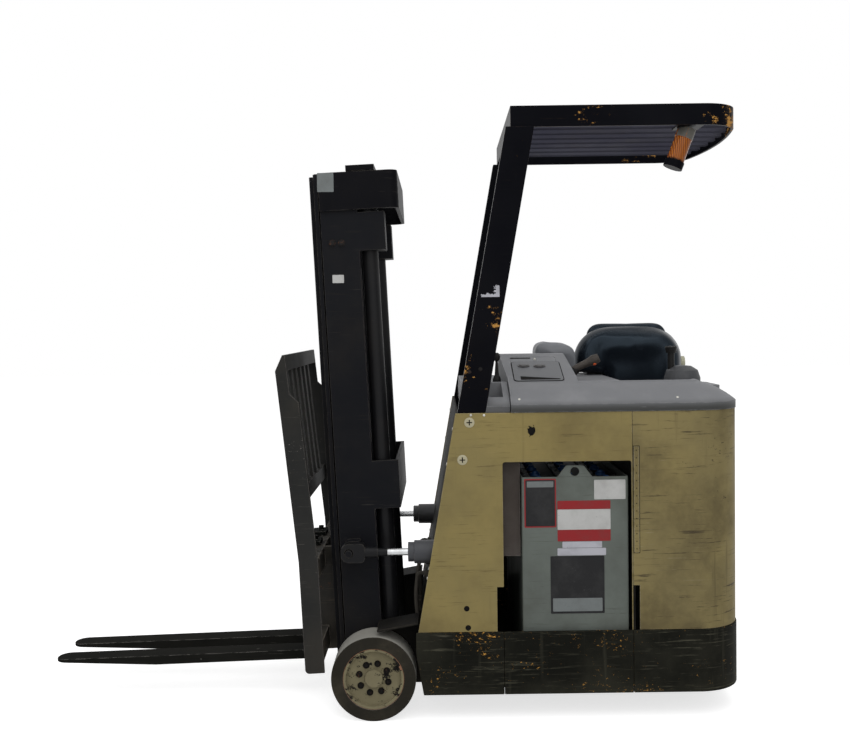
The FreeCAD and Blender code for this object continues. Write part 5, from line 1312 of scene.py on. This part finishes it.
@dataclass
class BodyShell(Assembly):
    """The frame, the tan panels, the black skirts and the operator's compartment."""

    sheet_edge: float = 1.6
    casting_edge: float = 3.0
    cap_places: tuple[tuple[float, float], ...] = ((-0.327, 1.143), (-0.299, 1.001))
    hole_places: tuple[tuple[float, float], ...] = ((-0.308, 0.431), (-0.313, 0.357))
    top_places: tuple[tuple[float, float], ...] = ((-0.333, 1.171), (-0.383, 1.170))
    scar_place: tuple[float, float] = (-0.562, 1.108)
    edge_heights: tuple[float, ...] = (1.117, 0.983, 0.582, 0.545)
    edge_out: float = 0.482
    strip_low: tuple[float, float] = (-0.9690, 0.638)
    strip_high: tuple[float, float] = (-0.9490, 1.044)
    strip_thick: float = 1.8 * MM
    rivets: int = 14
    stop_top: float = 1.000
    stop_span: tuple[float, float] = (4.0 * MM, 76.0 * MM)
    stop_thick: float = 8.0 * MM
    stop_flange: float = 22.0 * MM
    rib_pitch: float = 22.0 * MM

    def build(self) -> None:
        """Finish the body's panels and fit their screws."""
        done = self.done
        for node in ("base_frame", "bulkheads", "front_plate", "operator_floor"):
            self.soften(node, self.sheet_edge, done.frame, Slot.FRAME)
        self.soften("side_panels", self.sheet_edge, done.tan, Slot.TAN)
        self.soften("rear_panels", self.sheet_edge, done.tan_rear_dirt_and_shade, Slot.TAN)
        for node in ("front_skirts", "battery_gates", "rear_skirts"):
            self.soften(node, self.casting_edge, done.skirt, Slot.SKIRT)
        self.soften("liners", self.sheet_edge, done.liner, Slot.COVER)
        self.soften("floor_mat", self.sheet_edge, done.mat, Slot.MAT)
        self.panel_fittings()
        self.stop_plates()
        for side in Side:
            self.hinge_strip(side)
        self.mat_ribs()

    def panel_fittings(self) -> None:
        """Fit the caps, holes and screws of the side panels, on both sides."""
        done = self.done
        for name, fitting, places, finish, slot in (
            ("panel_caps", DomedScrew(19.5 * MM, 3.4 * MM, True), self.cap_places, done.cream_cap, Slot.TAN),
            # The holes' shallow sockets take the near-black painted shade of a deep hole.
            ("panel_holes", Socket(9.5 * MM, 1.0 * MM), self.hole_places, done.shade_and_scar, Slot.FRAME),
            ("top_screws", DomedScrew(5.0 * MM, 2.6 * MM), self.top_places, done.zinc, Slot.CHROME),
        ):
            spots = self.on_sides("side_panels", places)
            piece = self.fix(fitting, spots, name, "side_panels", finish, slot)
            if name == "panel_caps":
                self.darken_recesses(piece, spots, fitting)
        spots = [
            self.struck("front_plate", (3.0, side.value * self.edge_out, up), (-1, 0, 0))
            for side in Side
            for up in self.edge_heights
        ]
        self.fix(hex_bolt(6.5 * MM, 5.0 * MM), spots, "edge_screws", "side_panels", done.zinc, Slot.CHROME)
        scar = TornLabel(36.0 * MM, 46.0 * MM, self.scarred, 0.2 * MM)
        spots = [self.on_side("side_panels", *self.scar_place)]
        self.fix(scar, spots, "panel_scar", "side_panels", done.shade_and_scar, Slot.FRAME)

    def scarred(self, across: float, up: float) -> bool:
        """Tell whether a place belongs to the scar: a ragged round patch."""
        return math.hypot(across, up) + 0.4 * ragged(across, up) < 0.85

    def darken_recesses(self, piece: bpy.types.Object, spots: Sequence[Matrix], screw: DomedScrew) -> None:
        """Paint shade into the cross recesses of large screws, with the near-black finish."""
        backs = [spot.inverted() for spot in spots]

        def recessed(middle: Vector, normal: Vector) -> bool:
            """Tell whether a face is inside a screw's recess."""
            nearest = min((back @ middle for back in backs), key=lambda place: place.length)
            return nearest.xy.length < 0.56 * screw.radius and nearest.z < 0.62 * screw.height

        self.part_finish(piece, self.done.shade_and_scar, recessed)

    def hinge_strip(self, side: Side) -> None:
        """Make the riveted strip beside the rear seam, with a painted shadow of its joint: a near-black plate
        a little larger than the strip.
        """
        (low_x, low_z), (high_x, high_z) = self.strip_low, self.strip_high
        wide, tall = high_x - low_x, high_z - low_z
        across = (low_x + high_x) / 2
        name = "hinge_strip_" + side.name.lower()
        place = [self.on_side("rear_panels", across, (low_z + high_z) / 2, side)]
        margin = 5.0 * MM
        raised = Matrix.Translation((0, 0, self.strip_thick))
        heights = [low_z + (index + 0.5) * tall / self.rivets for index in range(self.rivets)]
        rivets = [self.on_side("rear_panels", across, up, side) @ raised for up in heights]
        strip = Plate(wide, tall, self.strip_thick, 1.5 * MM)
        shadow = Plate(wide + margin, tall + margin, 0.7 * MM, 2.0 * MM)
        for ending, fitting, spots, finish, slot in (
            ("", strip, place, self.done.tan_rear_dirt_and_shade, Slot.TAN),
            ("_joint", shadow, place, self.done.shade_and_scar, Slot.FRAME),
            ("_rivets", DomedScrew(2.2 * MM, 1.2 * MM), rivets, self.done.bolt, Slot.CHROME),
        ):
            self.fix(fitting, spots, name + ending, "rear_panels", finish, slot)

    def stop_plates(self) -> None:
        """Stand a flanged stop plate in front of the battery on each side, the right one longer."""
        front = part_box("battery_case")[1].x
        start, end = (front + gap for gap in self.stop_span)
        for side, out, foot in ((Side.LEFT, 0.452, 0.620), (Side.RIGHT, 0.474, 0.345)):
            near, far = sorted((side.value * out, side.value * (out - self.stop_thick)))
            plate = block("battery_stop", (start, near, foot), (end, far, self.stop_top))
            with editing(plate):
                pick_faces(plate, lambda middle, normal: normal.x < -FOLLOWS)
                draw_out(-3.0 * MM, -side.value * self.stop_flange, 0)
            round_edges(plate, 1.5 * MM, 2)
            name = "battery_stop_" + side.name.lower()
            self.hand_in(plate, name, "side_panels", self.done.stop, Slot.FRAME)

    def mat_ribs(self) -> None:
        """Lay the raised ribs across the floor mat."""
        low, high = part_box("floor_mat")
        rib = Plate(high.x - low.x - 60.0 * MM, 7.0 * MM, 2.4 * MM)
        count = int((high.y - low.y - 40.0 * MM) / self.rib_pitch)
        middle = (low + high) / 2
        start = middle.y - self.rib_pitch * (count - 1) / 2
        spots = [self.on_top("floor_mat", middle.x, start + index * self.rib_pitch) for index in range(count)]
        self.fix(rib, spots, "mat_ribs", "floor_mat", self.done.mat, Slot.MAT)


@dataclass
class BatteryPack(Assembly):
    """The steel battery case with its lifting ears, cells, caps and plates."""

    rows: int = 6
    columns: int = 3

    def build(self) -> None:
        """Finish the battery and fix its plates."""
        done = self.done
        self.soften("battery_case", 2.5, done.battery, Slot.BATTERY)
        self.soften("battery_cells", 2.0, done.cell, Slot.CELL)
        self.tops()
        for name, low, high, thick, rim, finish in (
            ("plate_border", (-0.6555, 0.7345), (-0.5340, 0.9215), 1.0, 0.0, done.plate_red),
            ("plate_field", (-0.6510, 0.7390), (-0.5385, 0.9170), 1.3, 0.0, done.plate_black),
            ("plate_lines", (-0.6455, 0.8890), (-0.5440, 0.9120), 1.6, 0.0, done.plate_grey),
            ("rating_plate", (-0.9210, 0.8400), (-0.8010, 0.9150), 1.6, 3.0, done.plate_white),
            ("banner_top", (-0.8630, 0.8030), (-0.6600, 0.8360), 1.1, 0.0, done.plate_red),
            ("banner_field", (-0.8630, 0.7245), (-0.6600, 0.8025), 1.0, 0.0, done.plate_white),
            ("banner_foot", (-0.8630, 0.6800), (-0.6600, 0.7240), 1.1, 0.0, done.plate_red),
            ("pale_strip_top", (-0.8300, 0.6545), (-0.6780, 0.6785), 0.9, 0.0, done.sticker),
            ("pale_strip_low", (-0.8450, 0.6250), (-0.6590, 0.6530), 0.9, 0.0, done.sticker),
            ("maker_plate", (-0.8380, 0.4010), (-0.6320, 0.6230), 1.4, 4.0, done.plate_black),
            ("maker_band", (-0.8300, 0.4090), (-0.6400, 0.4600), 1.7, 0.0, done.plate_grey),
        ):
            plate = Plate(high[0] - low[0], high[1] - low[1], thick * MM, rim=rim * MM)
            spot = self.on_side("battery_case", (low[0] + high[0]) / 2, (low[1] + high[1]) / 2)
            self.fix(plate, [spot], name, "battery_case", finish, Slot.BATTERY)

    def tops(self) -> None:
        """Stand the filler caps on the cells and bar the cells together."""
        low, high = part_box("battery_cells")
        long = (high.y - low.y) / self.rows
        wide = (high.x - low.x) / self.columns
        caps, bars = [], []
        for row in range(self.rows):
            for column in range(self.columns):
                x = low.x + (column + 0.5) * wide
                y = low.y + (row + 0.5) * long
                caps.append(Matrix.Translation((x, y, high.z)))
                if row < self.rows - 1:
                    bars.append(Matrix.Translation((x + 0.28 * wide, y + 0.5 * long, high.z)))
        self.fix(vent_cap(21.0 * MM, 24.0 * MM), caps, "cell_caps", "battery_cells", self.done.cap, Slot.CELL)
        bar = Plate(26.0 * MM, 0.8 * long, 9.0 * MM, 8.0 * MM)
        self.fix(bar, bars, "cell_bars", "battery_cells", self.done.lead, Slot.CELL)


@dataclass
class Covers(Assembly):
    """The moulded covers, the console and the front tray."""

    lip_top: float = 1.1990
    panel_middle: tuple[float, float] = (-0.6024, 0.1795)
    lever_place: tuple[float, float] = (-0.446, 0.262)
    screw_places: tuple[tuple[float, float], ...] = ((-0.519, 0.483), (-1.121, 0.483))

    def build(self) -> None:
        """Finish the covers and fit the console."""
        done = self.done
        for node, edge in (("cover_left", 6.0), ("hood", 6.0), ("console", 11.0)):
            self.soften(node, edge, done.cover, Slot.COVER, 4)
        tray = self.soften("front_tray", 4.0, done.cover, Slot.COVER, 3)
        # The tray's faces below the lip's top take the painted shade.
        self.part_finish(tray, done.lip, lambda middle, normal: middle.z < self.lip_top)
        self.console_fittings()
        spots = [self.on_top("cover_left", *place) for place in self.screw_places]
        screw = DomedScrew(5.5 * MM, 3.0 * MM)
        self.fix(screw, spots, "cover_screws", "cover_left", done.zinc, Slot.CHROME)

    def console_fittings(self) -> None:
        """Fit the switch panel's border, which is painted shadow round its recess, and its face, its rockers,
        its slots of near-black painted shade, its key, and the lever beside it.

        Each fitting's places lie along the console, up its slope and above it, in millimetres.
        """
        done = self.done
        recess = self.on_top("console", *self.panel_middle)
        filler = Plate(187.2 * MM, 183.0 * MM, 5.6 * MM, 13.6 * MM)
        border = Plate(200.0 * MM, 212.0 * MM, 1.6 * MM, 17.0 * MM)
        panel = Plate(192.5 * MM, 204.5 * MM, 2.6 * MM, 14.0 * MM)
        rocker = Rocker(25.0 * MM, 17.0 * MM, 3.0 * MM)
        slot_plate = Wedge(156.0 * MM, 36.0 * MM, 1.2 * MM)
        upper = Plate(84.0 * MM, 11.0 * MM, 1.0 * MM)
        key = DomedScrew(5.0 * MM, 9.0 * MM)
        for name, fitting, places, finish, slot in (
            ("filler", filler, ((0.0, 0.0, 0.2),), done.cover, Slot.COVER),
            # Painted shadow: a near-black plate that shows round the panel's edge as the recess's shade.
            ("border", border, ((6.6, -71.4, 5.8),), done.shade_and_scar, Slot.CONTROL),
            ("panel", panel, ((6.6, -71.4, 5.9),), done.inset, Slot.COVER),
            ("rockers", rocker, ((-43.4, -18.4, 8.4), (20.6, -23.0, 8.4)), done.rocker, Slot.CONTROL),
            # Painted shade: flat near-black plates stand in for the slots' depth.
            ("slot", slot_plate, ((13.0, -148.0, 8.0),), done.shade_and_scar, Slot.CONTROL),
            ("upper_slot", upper, ((-50.0, 78.0, 5.4),), done.shade_and_scar, Slot.CONTROL),
            ("key", key, ((7.6, 56.0, 5.7),), done.zinc, Slot.CONTROL),
        ):
            spots = [recess @ Matrix.Translation(Vector(place) * MM) for place in places]
            self.fix(fitting, spots, "console_" + name, "console", finish, slot)
        foot = Matrix.Translation(self.on_top("front_tray", *self.lever_place).translation)
        self.fix(TRAY_LEVER, [foot], "tray_lever", "front_tray", done.trim, Slot.CONTROL)


@dataclass
class OperatorPlace(Assembly):
    """The back pad, the arm pad, the control handle and the steering tiller."""

    crest: float = 56.0 * MM
    dish: float = 165.0 * MM
    sunk: float = 0.82
    border: float = 40.0 * MM
    sewn_corner: float = 110.0 * MM
    full_corner: float = 152.0 * MM
    ridge: float = 1.300
    glued: float = 5.0 * MM
    arm_hang: float = 48.0 * MM
    dome_height: float = 73.0 * MM
    boot_lean: float = 24.0
    bumper_behind: float = -1.318
    bumper_above: float = 1.280
    bumper_out: float = -0.385
    bumper_reach: float = 45.0 * MM
    grip_swell: float = 0.34
    grip_reach: float = 32.0 * MM

    def build(self) -> None:
        """Finish what the operator leans on and holds."""
        done = self.done
        shell = self.soften("backrest_shell", 6.0, done.liner, Slot.COVER, 3)

        def bumper(middle: Vector, normal: Vector) -> bool:
            """Tell whether a face belongs to the shell's round bumper."""
            beside = abs(middle.y - self.bumper_out) < self.bumper_reach
            return beside and middle.x < self.bumper_behind and middle.z > self.bumper_above

        self.part_finish(shell, done.cream, bumper)
        self.back_pad()
        self.arm_pad()
        self.handle()
        tiller = self.soften("steering_tiller", 4.0, done.trim, Slot.CONTROL, 3)
        dome_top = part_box("steering_tiller")[0].z + self.dome_height
        self.part_finish(tiller, done.dome, lambda middle, normal: middle.z < dome_top)

    def back_pad(self) -> None:
        """Model the back pad: a fat rolled border round a sunk middle, and the roll behind it."""
        whole = self.merged("back_pad")
        with editing(whole):
            bpy.ops.mesh.separate(type="LOOSE")
        parts = bpy.context.selected_objects
        parts.sort(key=lambda part: max(corner[1] for corner in part.bound_box))
        for name, form, pad in zip(("back_pad_roll", "back_pad_cushion"), (self.tucked, self.rolled), parts):
            low, high = (Vector([*map(end, *pad.bound_box)]) for end in (min, max))
            left = low.x + 20.0 * MM
            walls = [face for face in pad.data.polygons if abs(face.normal.y) < 0.5]
            upper = [face for face in walls if face.center.z > self.ridge or face.center.x < left]
            points = [vertex.co for vertex in pad.data.vertices]
            sides, bolster = (
                BVHTree.FromPolygons(points, [list(face.vertices) for face in faces])
                for faces in (walls, upper)
            )
            back = low.y + self.glued
            Stuffing(most=5.0 * MM).fill(
                pad, lambda point: form(point, low, high, sides, bolster), lambda point: point.y < back
            )
            self.cushion(pad, name, "back_pad", self.done.vinyl, Slot.VINYL)

    def cushion(self, pad: bpy.types.Object, name: str, node: str, finish: Finish, slot: Slot) -> None:
        """Hand in a stuffed pad that stands in for a CAD node."""
        self.hand_in(pad, name, node, finish, slot)
        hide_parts(node)

    def rolled(self, point: Vector, low: Vector, high: Vector, sides: BVHTree, bolster: BVHTree) -> Vector:
        """Move a point of the back cushion to its sewn form.

        Args:
            point: The point on the plain pad.
            low: The pad's lowest corner.
            high: Its highest corner.
            sides: All its narrow sides.
            bolster: The sides that carry the fat border.

        Returns:
            The point, round near the edge, fat at the border's crest and sunk in the middle.
        """
        inside = bolster.find_nearest(point)[3]
        edge = sides.find_nearest(point)[3]
        fat = 0.40 + 0.60 * rounded(inside / self.border)
        if inside > self.crest:
            ease = min(1.0, (inside - self.crest) / (self.dish - self.crest))
            fat = 1.0 - (1.0 - self.sunk) * eased(ease)
        fat *= 0.55 + 0.45 * min(1.0, edge / (18.0 * MM))
        return self.cornered(Vector((point.x, low.y + (point.y - low.y) * fat * 0.97, point.z)), low, high)

    def cornered(self, point: Vector, low: Vector, high: Vector) -> Vector:
        """Draw the pad's two upper corners in to a larger radius."""
        full, sewn = self.full_corner, self.sewn_corner
        gap = full - sewn
        for side, edge in ((-1.0, low.x), (1.0, high.x)):
            middle = Vector((edge - side * full, high.z - full))
            across = side * (point.x - middle.x)
            up = point.z - middle.y
            reach = math.hypot(across, up)
            if across <= 0.0 or up <= 0.0 or reach < 1.0 * MM:
                continue
            ahead, above = across / reach, up / reach
            slant = gap * (ahead + above)
            limit = slant + math.sqrt(max(0.0, slant * slant - 2.0 * gap * gap + sewn * sewn))
            if limit * ahead < gap:
                limit = full / above
            elif limit * above < gap:
                limit = full / ahead
            share = min(1.0, reach / limit)
            scale = 1.0 + (full / limit - 1.0) * share * share
            point = Vector((middle.x + side * across * scale, point.y, middle.y + up * scale))
        return point

    def tucked(self, point: Vector, low: Vector, high: Vector, sides: BVHTree, bolster: BVHTree) -> Vector:
        """Move a point of the roll: full in the middle, round towards its edges."""
        middle = (low.y + high.y) / 2
        fat = 0.35 + 0.65 * rounded(sides.find_nearest(point)[3] / (26.0 * MM))
        return Vector((point.x, middle + (point.y - middle) * fat * 0.95, point.z))

    def arm_pad(self) -> None:
        """Model the arm pad: a full wedge, fat in front and tucked in underneath."""
        pad = self.merged("arm_pad")
        round_edges(pad, 22.0 * MM, 5)
        low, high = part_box("arm_pad")
        long, deep = high.x - low.x, high.z - low.z
        middle = (low.y + high.y) / 2

        def wedge(point: Vector) -> Vector:
            """Tuck the pad in towards its foot, dip it behind its front and let its rear hang down."""
            front = (point.x - low.x) / long
            up = (point.z - low.z) / deep
            tuck = 0.84 + 0.15 * min(1.0, up * 1.6)
            dip = 1.0 - 0.05 * math.exp(-(((front - 0.60) / 0.14) ** 2))
            drop = self.arm_hang * eased(max(0.0, 0.55 - front) / 0.55) * (1.0 - up)
            height = low.z + up * deep * dip * 0.98 - drop
            return Vector((point.x, middle + (point.y - middle) * tuck, height))

        Stuffing(voxel=4.5 * MM).fill(pad, wedge, lambda point: point.z < low.z + self.glued)
        self.cushion(pad, "arm_pad_cushion", "arm_pad", self.done.arm_vinyl, Slot.PAD)

    def handle(self) -> None:
        """Finish the control handle, with its button and its boot."""
        done = self.done
        grip = self.soften("control_handle", 2.5, done.grip, Slot.CONTROL, 3)
        low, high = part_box("control_handle")
        middle = (low + high) / 2
        tip = Vector((low.x + 16.0 * MM, middle.y, high.z - 18.0 * MM))
        for vertex in grip.data.vertices:
            away = vertex.co - tip
            fuller = 1.0 + self.grip_swell * math.exp(-((away.length / self.grip_reach) ** 2))
            vertex.co = tip + away * fuller
        spot = self.on_side("control_handle", low.x + 22.0 * MM, high.z - 36.0 * MM)
        button = DomedScrew(8.5 * MM, 6.0 * MM)
        self.fix(button, [spot], "handle_button", "control_handle", done.orange, Slot.CONTROL)
        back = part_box("console")[0].x
        slope = math.radians(self.boot_lean)
        foot = (back + 1.0 * MM, middle.y, middle.z - 32.0 * MM)
        spot = facing(foot, (-math.cos(slope), 0, math.sin(slope)))
        self.fix(HANDLE_BOOT, [spot], "handle_boot", "control_handle", done.trim, Slot.CONTROL)


@dataclass
class OverheadGuard(Assembly):
    """The two leaning posts, the roof with its slats, and the beacon."""

    base_share: float = 0.30
    cap_share: float = 0.80
    beacon_lean: float = 21.0
    sticker_place: tuple[float, float] = (-0.412, 1.640)
    bolt_places: tuple[tuple[float, float], ...] = ((-0.330, 1.335), (-0.372, 1.345))

    def build(self) -> None:
        """Finish the guard, its beacon and what is stuck on it."""
        done = self.done
        for node, width, finish in (
            ("guard_posts", 4.0, done.guard),
            ("guard_roof", 3.0, done.guard),
            # The slats take the finish with the painted sheen of the roof's underside.
            ("guard_slats", 2.0, done.slat),
        ):
            self.soften(node, width, finish, Slot.GUARD, 3)
        self.beacon()
        scrap = TornLabel(72.0 * MM, 46.0 * MM, self.torn)
        spot = self.on_side("guard_posts", *self.sticker_place)
        self.fix(scrap, [spot], "torn_sticker", "guard_posts", done.sticker, Slot.GUARD)
        bolts = self.on_sides("guard_posts", self.bolt_places)
        self.fix(hex_bolt(6.0 * MM, 4.0 * MM), bolts, "post_bolts", "guard_posts", done.bolt, Slot.GUARD)

    def torn(self, across: float, up: float) -> bool:
        """Tell whether a place on the sticker is left: a ragged bar with a leg standing on its end."""
        rough = 0.22 * ragged(across, up)
        bar = up + rough < -0.50 and across > -0.94 + rough
        leg = across + rough > 0.48 and up < 0.9 + rough
        return bar or leg

    def beacon(self) -> None:
        """Finish the beacon in three parts along its leaning axis."""
        piece = self.soften("beacon", 2.0, self.done.lens, Slot.LENS, 3)
        low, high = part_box("beacon")
        foot = Vector((high.x, 0, low.z))
        tip = Vector((low.x, 0, high.z))
        lean = math.radians(self.beacon_lean)
        axis = Vector((-math.sin(lean), 0, math.cos(lean)))
        reach = (tip - foot).dot(axis)

        def share(middle: Vector) -> float:
            """Return how far along the axis a place is, from 0 to 1."""
            return (middle - foot).dot(axis) / reach

        self.part_finish(piece, self.done.clear, lambda middle, normal: share(middle) > self.cap_share)
        self.part_finish(piece, self.done.guard, lambda middle, normal: share(middle) < self.base_share)


@dataclass
class Mast(Assembly):
    """The three nested mast stages with their lift cylinders."""

    stages: tuple[str, ...] = ("mast_outer", "mast_middle", "mast_inner")
    head_from: float = 1.990
    bolt_height: float = 1.840
    bolts_along: tuple[float, float] = (0.197, 0.160)

    def build(self) -> None:
        """Finish the mast, its plates and its bolts."""
        done = self.done
        for node in self.stages:
            stage = self.soften(node, 2.0, done.mast, Slot.MAST)
            self.part_finish(stage, done.head, lambda middle, normal: middle.z > self.head_from)
        for node in ("lift_cylinders", "free_lift_cylinder"):
            self.soften(node, 2.0, done.cylinder, Slot.MAST)
        for node in ("lift_rods", "free_lift_rod"):
            self.soften(node, 1.5, done.chrome, Slot.CHROME)
        self.plates()

    def nearest_side(self, across: float, up: float, side: Side = Side.LEFT) -> tuple[str, Matrix]:
        """Find which stage shows at a place beside the mast.

        Args:
            across: The place along X.
            up: The height.
            side: The side of the truck.

        Returns:
            The stage's node, and the place of a fitting on it.
        """
        found = []
        for node in self.stages:
            try:
                place = self.on_side(node, across, up, side)
            except ValueError:
                continue
            found.append((-side.value * place.translation.y, node, place))
        if not found:
            raise ValueError(f"no stage of the mast is at {across}, {up}")
        _, node, place = min(found, key=lambda item: item[0])
        return node, place

    def plates(self) -> None:
        """Fix the blank plates, and the bolts of the lift cylinders on both sides."""
        done = self.done
        for name, low, high, finish in (
            ("mast_plate", (0.186, 2.038), (0.250, 2.112), done.plate_grey),
            ("mast_tag", (0.153, 1.684), (0.198, 1.716), done.plate_white),
        ):
            node, spot = self.nearest_side((low[0] + high[0]) / 2, (low[1] + high[1]) / 2)
            plate = Plate(high[0] - low[0], high[1] - low[1], 1.2 * MM)
            self.fix(plate, [spot], name, node, finish, Slot.MAST)
        for side in Side:
            node, _ = self.nearest_side(self.bolts_along[0], self.bolt_height, side)
            spots = [self.on_side(node, across, self.bolt_height, side) for across in self.bolts_along]
            name = "mast_bolts_" + side.name.lower()
            self.fix(hex_bolt(11.0 * MM, 9.0 * MM), spots, name, node, done.bolt, Slot.MAST)


@dataclass
class ForkCarriage(Assembly):
    """The carriage, the load backrest and the two forks."""

    def build(self) -> None:
        """Finish what carries the load."""
        done = self.done
        self.soften("carriage", 2.5, done.carriage, Slot.MAST)
        self.soften("load_backrest", 2.5, done.backrest, Slot.MAST)
        for node in ("fork_left", "fork_right"):
            self.soften(node, 3.0, done.fork, Slot.FORK)


@dataclass
class RunningGear(Assembly):
    """The drive axle with its wheels, and the steered wheels."""

    nut_circle: float = 57.5 * MM
    nuts: int = 8
    first_nut: float = 0.35
    nut_spin: float = 0.4
    wall_from: float = 0.45
    disc_edge: float = 112.0 * MM

    def build(self) -> None:
        """Finish the wheels and what carries them."""
        done = self.done
        for node in ("drive_axle", "axle_arms", "steer_yoke"):
            self.soften(node, 2.5, done.frame, Slot.FRAME)
        self.soften("drive_hoses", 0.8, done.hose, Slot.MAT)
        for side in Side:
            self.tyre("front_tyre_" + side.name.lower(), 9.0, 4)
            self.disc("front_rim_" + side.name.lower(), side)
        self.tyre("steer_tyres", 5.0, 3)
        self.soften("steer_hubs", 1.5, done.rim, Slot.RIM)

    def tyre(self, node: str, width: float, segments: int) -> None:
        """Finish a tyre: its worn tread, and its dirty walls."""
        tyre = self.soften(node, width, self.done.rubber, Slot.TYRE, segments)
        self.part_finish(tyre, self.done.sidewall, lambda middle, normal: abs(normal.y) > self.wall_from)

    def disc(self, node: str, side: Side) -> None:
        """Finish a drive wheel's disc, rusted round its edge, and make its ring of nuts."""
        rim = self.soften(node, 2.5, self.done.rim, Slot.RIM, 3)
        low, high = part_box(node)
        centre = (low + high) / 2

        def at_edge(middle: Vector, normal: Vector) -> bool:
            """Tell whether a place is on the disc's edge."""
            return math.hypot(middle.x - centre.x, middle.z - centre.z) > self.disc_edge

        self.part_finish(rim, self.done.rust, at_edge)
        places = []
        for index in range(self.nuts):
            angle = math.tau * (index + self.first_nut) / self.nuts
            across = centre.x + math.cos(angle) * self.nut_circle
            up = centre.z + math.sin(angle) * self.nut_circle
            places.append(self.on_side(node, across, up, side, self.nut_spin * index))
        nut = wheel_nut(11.5 * MM, 15.0 * MM)
        self.fix(nut, places, "wheel_nuts_" + side.name.lower(), node, self.done.nut, Slot.FRAME)


@dataclass
class TiltCylinders(Assembly):
    """The two cylinders that lean the mast."""

    bright_to: float = -0.012

    def build(self) -> None:
        """Finish the cylinders, their rods bright only where they slide."""
        done = self.done
        for side in ("left", "right"):
            self.soften("tilt_barrel_" + side, 2.0, done.barrel, Slot.MAST)
            rod = self.soften("tilt_rod_" + side, 1.2, done.chrome, Slot.CHROME)
            self.part_finish(rod, done.cylinder, lambda middle, normal: middle.x > self.bright_to)
        self.soften("tilt_anchor_pins", 1.2, done.bolt, Slot.FRAME)


# ---------------------------------------------------------------------- studio


def seen(wiring: Wiring) -> bpy.types.NodeSocket:
    """Tell whether a ray comes from the camera, straight, by a mirror or through glass."""
    path = wiring.add("LightPath").outputs
    straight = wiring.maths("MAXIMUM", path["Is Camera Ray"], path["Is Transmission Ray"])
    return wiring.maths("MAXIMUM", straight, path["Is Glossy Ray"])


@dataclass(frozen=True)
class Backdrop(Finish):
    """A pale floor that looks white and keeps the truck's shadow."""

    colour: Colour = (0.62, 0.62, 0.62)
    glow: float = 0.70

    def surface(self, wiring: Wiring) -> dict[str, object]:
        """Return what the Principled node's inputs are fed with."""
        return {
            "Base Color": self.colour,
            "Roughness": 1.0,
            "Specular IOR Level": 0.0,
            "Emission Color": (1.0, 1.0, 1.0),
            "Emission Strength": wiring.maths("MULTIPLY", seen(wiring), self.glow),
        }


@dataclass
class Studio:
    """A pale floor, soft light and the camera."""

    camera_place: tuple[float, float, float] = (-0.2226, 4.478, 1.512)
    lens: float = 44.55
    shift: tuple[float, float] = (-0.0188, -0.0024)
    look_down: float = 2.31
    roll: float = -0.80
    floor_half: float = 30.0
    sky: float = 0.60

    def build(self) -> None:
        """Set the floor, the light, the world and the camera."""
        self.set_floor()
        self.set_world()
        self.set_lamps()
        self.set_camera()
        bpy.context.scene.view_settings.view_transform = "Standard"

    def set_floor(self) -> None:
        """Lay the floor."""
        deselect()
        bpy.ops.mesh.primitive_plane_add(size=2 * self.floor_half, location=(0, 0, 0))
        floor = bpy.context.object
        floor.name = "studio_floor"
        floor.data.materials.append(Backdrop("studio_floor").material())

    def set_world(self) -> None:
        """Light from all round, and show white behind the truck."""
        world = bpy.data.worlds.new("studio_world")
        world.use_nodes = True
        wiring = Wiring(world.node_tree)
        strength = wiring.spread(seen(wiring), 0.0, 1.0, self.sky, 1.0)
        backdrop = world.node_tree.nodes["Background"]
        wiring.fill(backdrop, {"Color": (1.0, 1.0, 1.0), "Strength": strength})
        bpy.context.scene.world = world

    def stand(self, name: str, data: bpy.types.ID) -> bpy.types.Object:
        """Add a lamp or a camera to the scene and return its object."""
        holder = bpy.data.objects.new(name, data)
        bpy.context.collection.objects.link(holder)
        return holder

    def set_lamps(self) -> None:
        """Hang one broad lamp overhead and a soft one beside the camera."""
        for name, place, size, power in (
            ("overhead", (0.2, 1.4, 5.6), 6.5, 170.0),
            ("fill", (-1.2, 6.0, 3.8), 6.0, 110.0),
        ):
            lamp = bpy.data.lights.new(name, "AREA")
            lamp.size = size
            lamp.energy = power
            holder = self.stand(name, lamp)
            holder.location = place
            aim = Vector((0.0, 0.0, 1.0)) - Vector(place)
            holder.rotation_euler = aim.to_track_quat("-Z", "Y").to_euler()

    def set_camera(self) -> None:
        """Stand the camera on the truck's left, a little above its middle."""
        camera = bpy.data.cameras.new("camera")
        camera.sensor_width = 36.0
        camera.lens = self.lens
        camera.shift_x, camera.shift_y = self.shift
        camera.clip_end = 100.0
        holder = self.stand("camera", camera)
        turn = Matrix.Rotation(math.pi, 4, "Z")
        turn = turn @ Matrix.Rotation(math.radians(90.0 - self.look_down), 4, "X")
        turn = turn @ Matrix.Rotation(math.radians(self.roll), 4, "Z")
        holder.matrix_world = Matrix.Translation(Vector(self.camera_place)) @ turn
        bpy.context.scene.camera = holder


# ------------------------------------------------------------------------ main

SUB_ASSEMBLIES = (
    BodyShell,
    BatteryPack,
    Covers,
    OperatorPlace,
    OverheadGuard,
    Mast,
    ForkCarriage,
    RunningGear,
    TiltCylinders,
)


def main() -> None:
    """Dress every sub-assembly and set the studio."""
    logging.basicConfig(level=logging.INFO, format="%(name)s: %(message)s")
    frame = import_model()
    finishes = Finishes()
    Studio().build()
    for kind in SUB_ASSEMBLIES:
        kind(frame, finishes).build()
        LOG.info("%s is finished", kind.__name__)
    deselect()


if __name__ == "__main__":
    main()
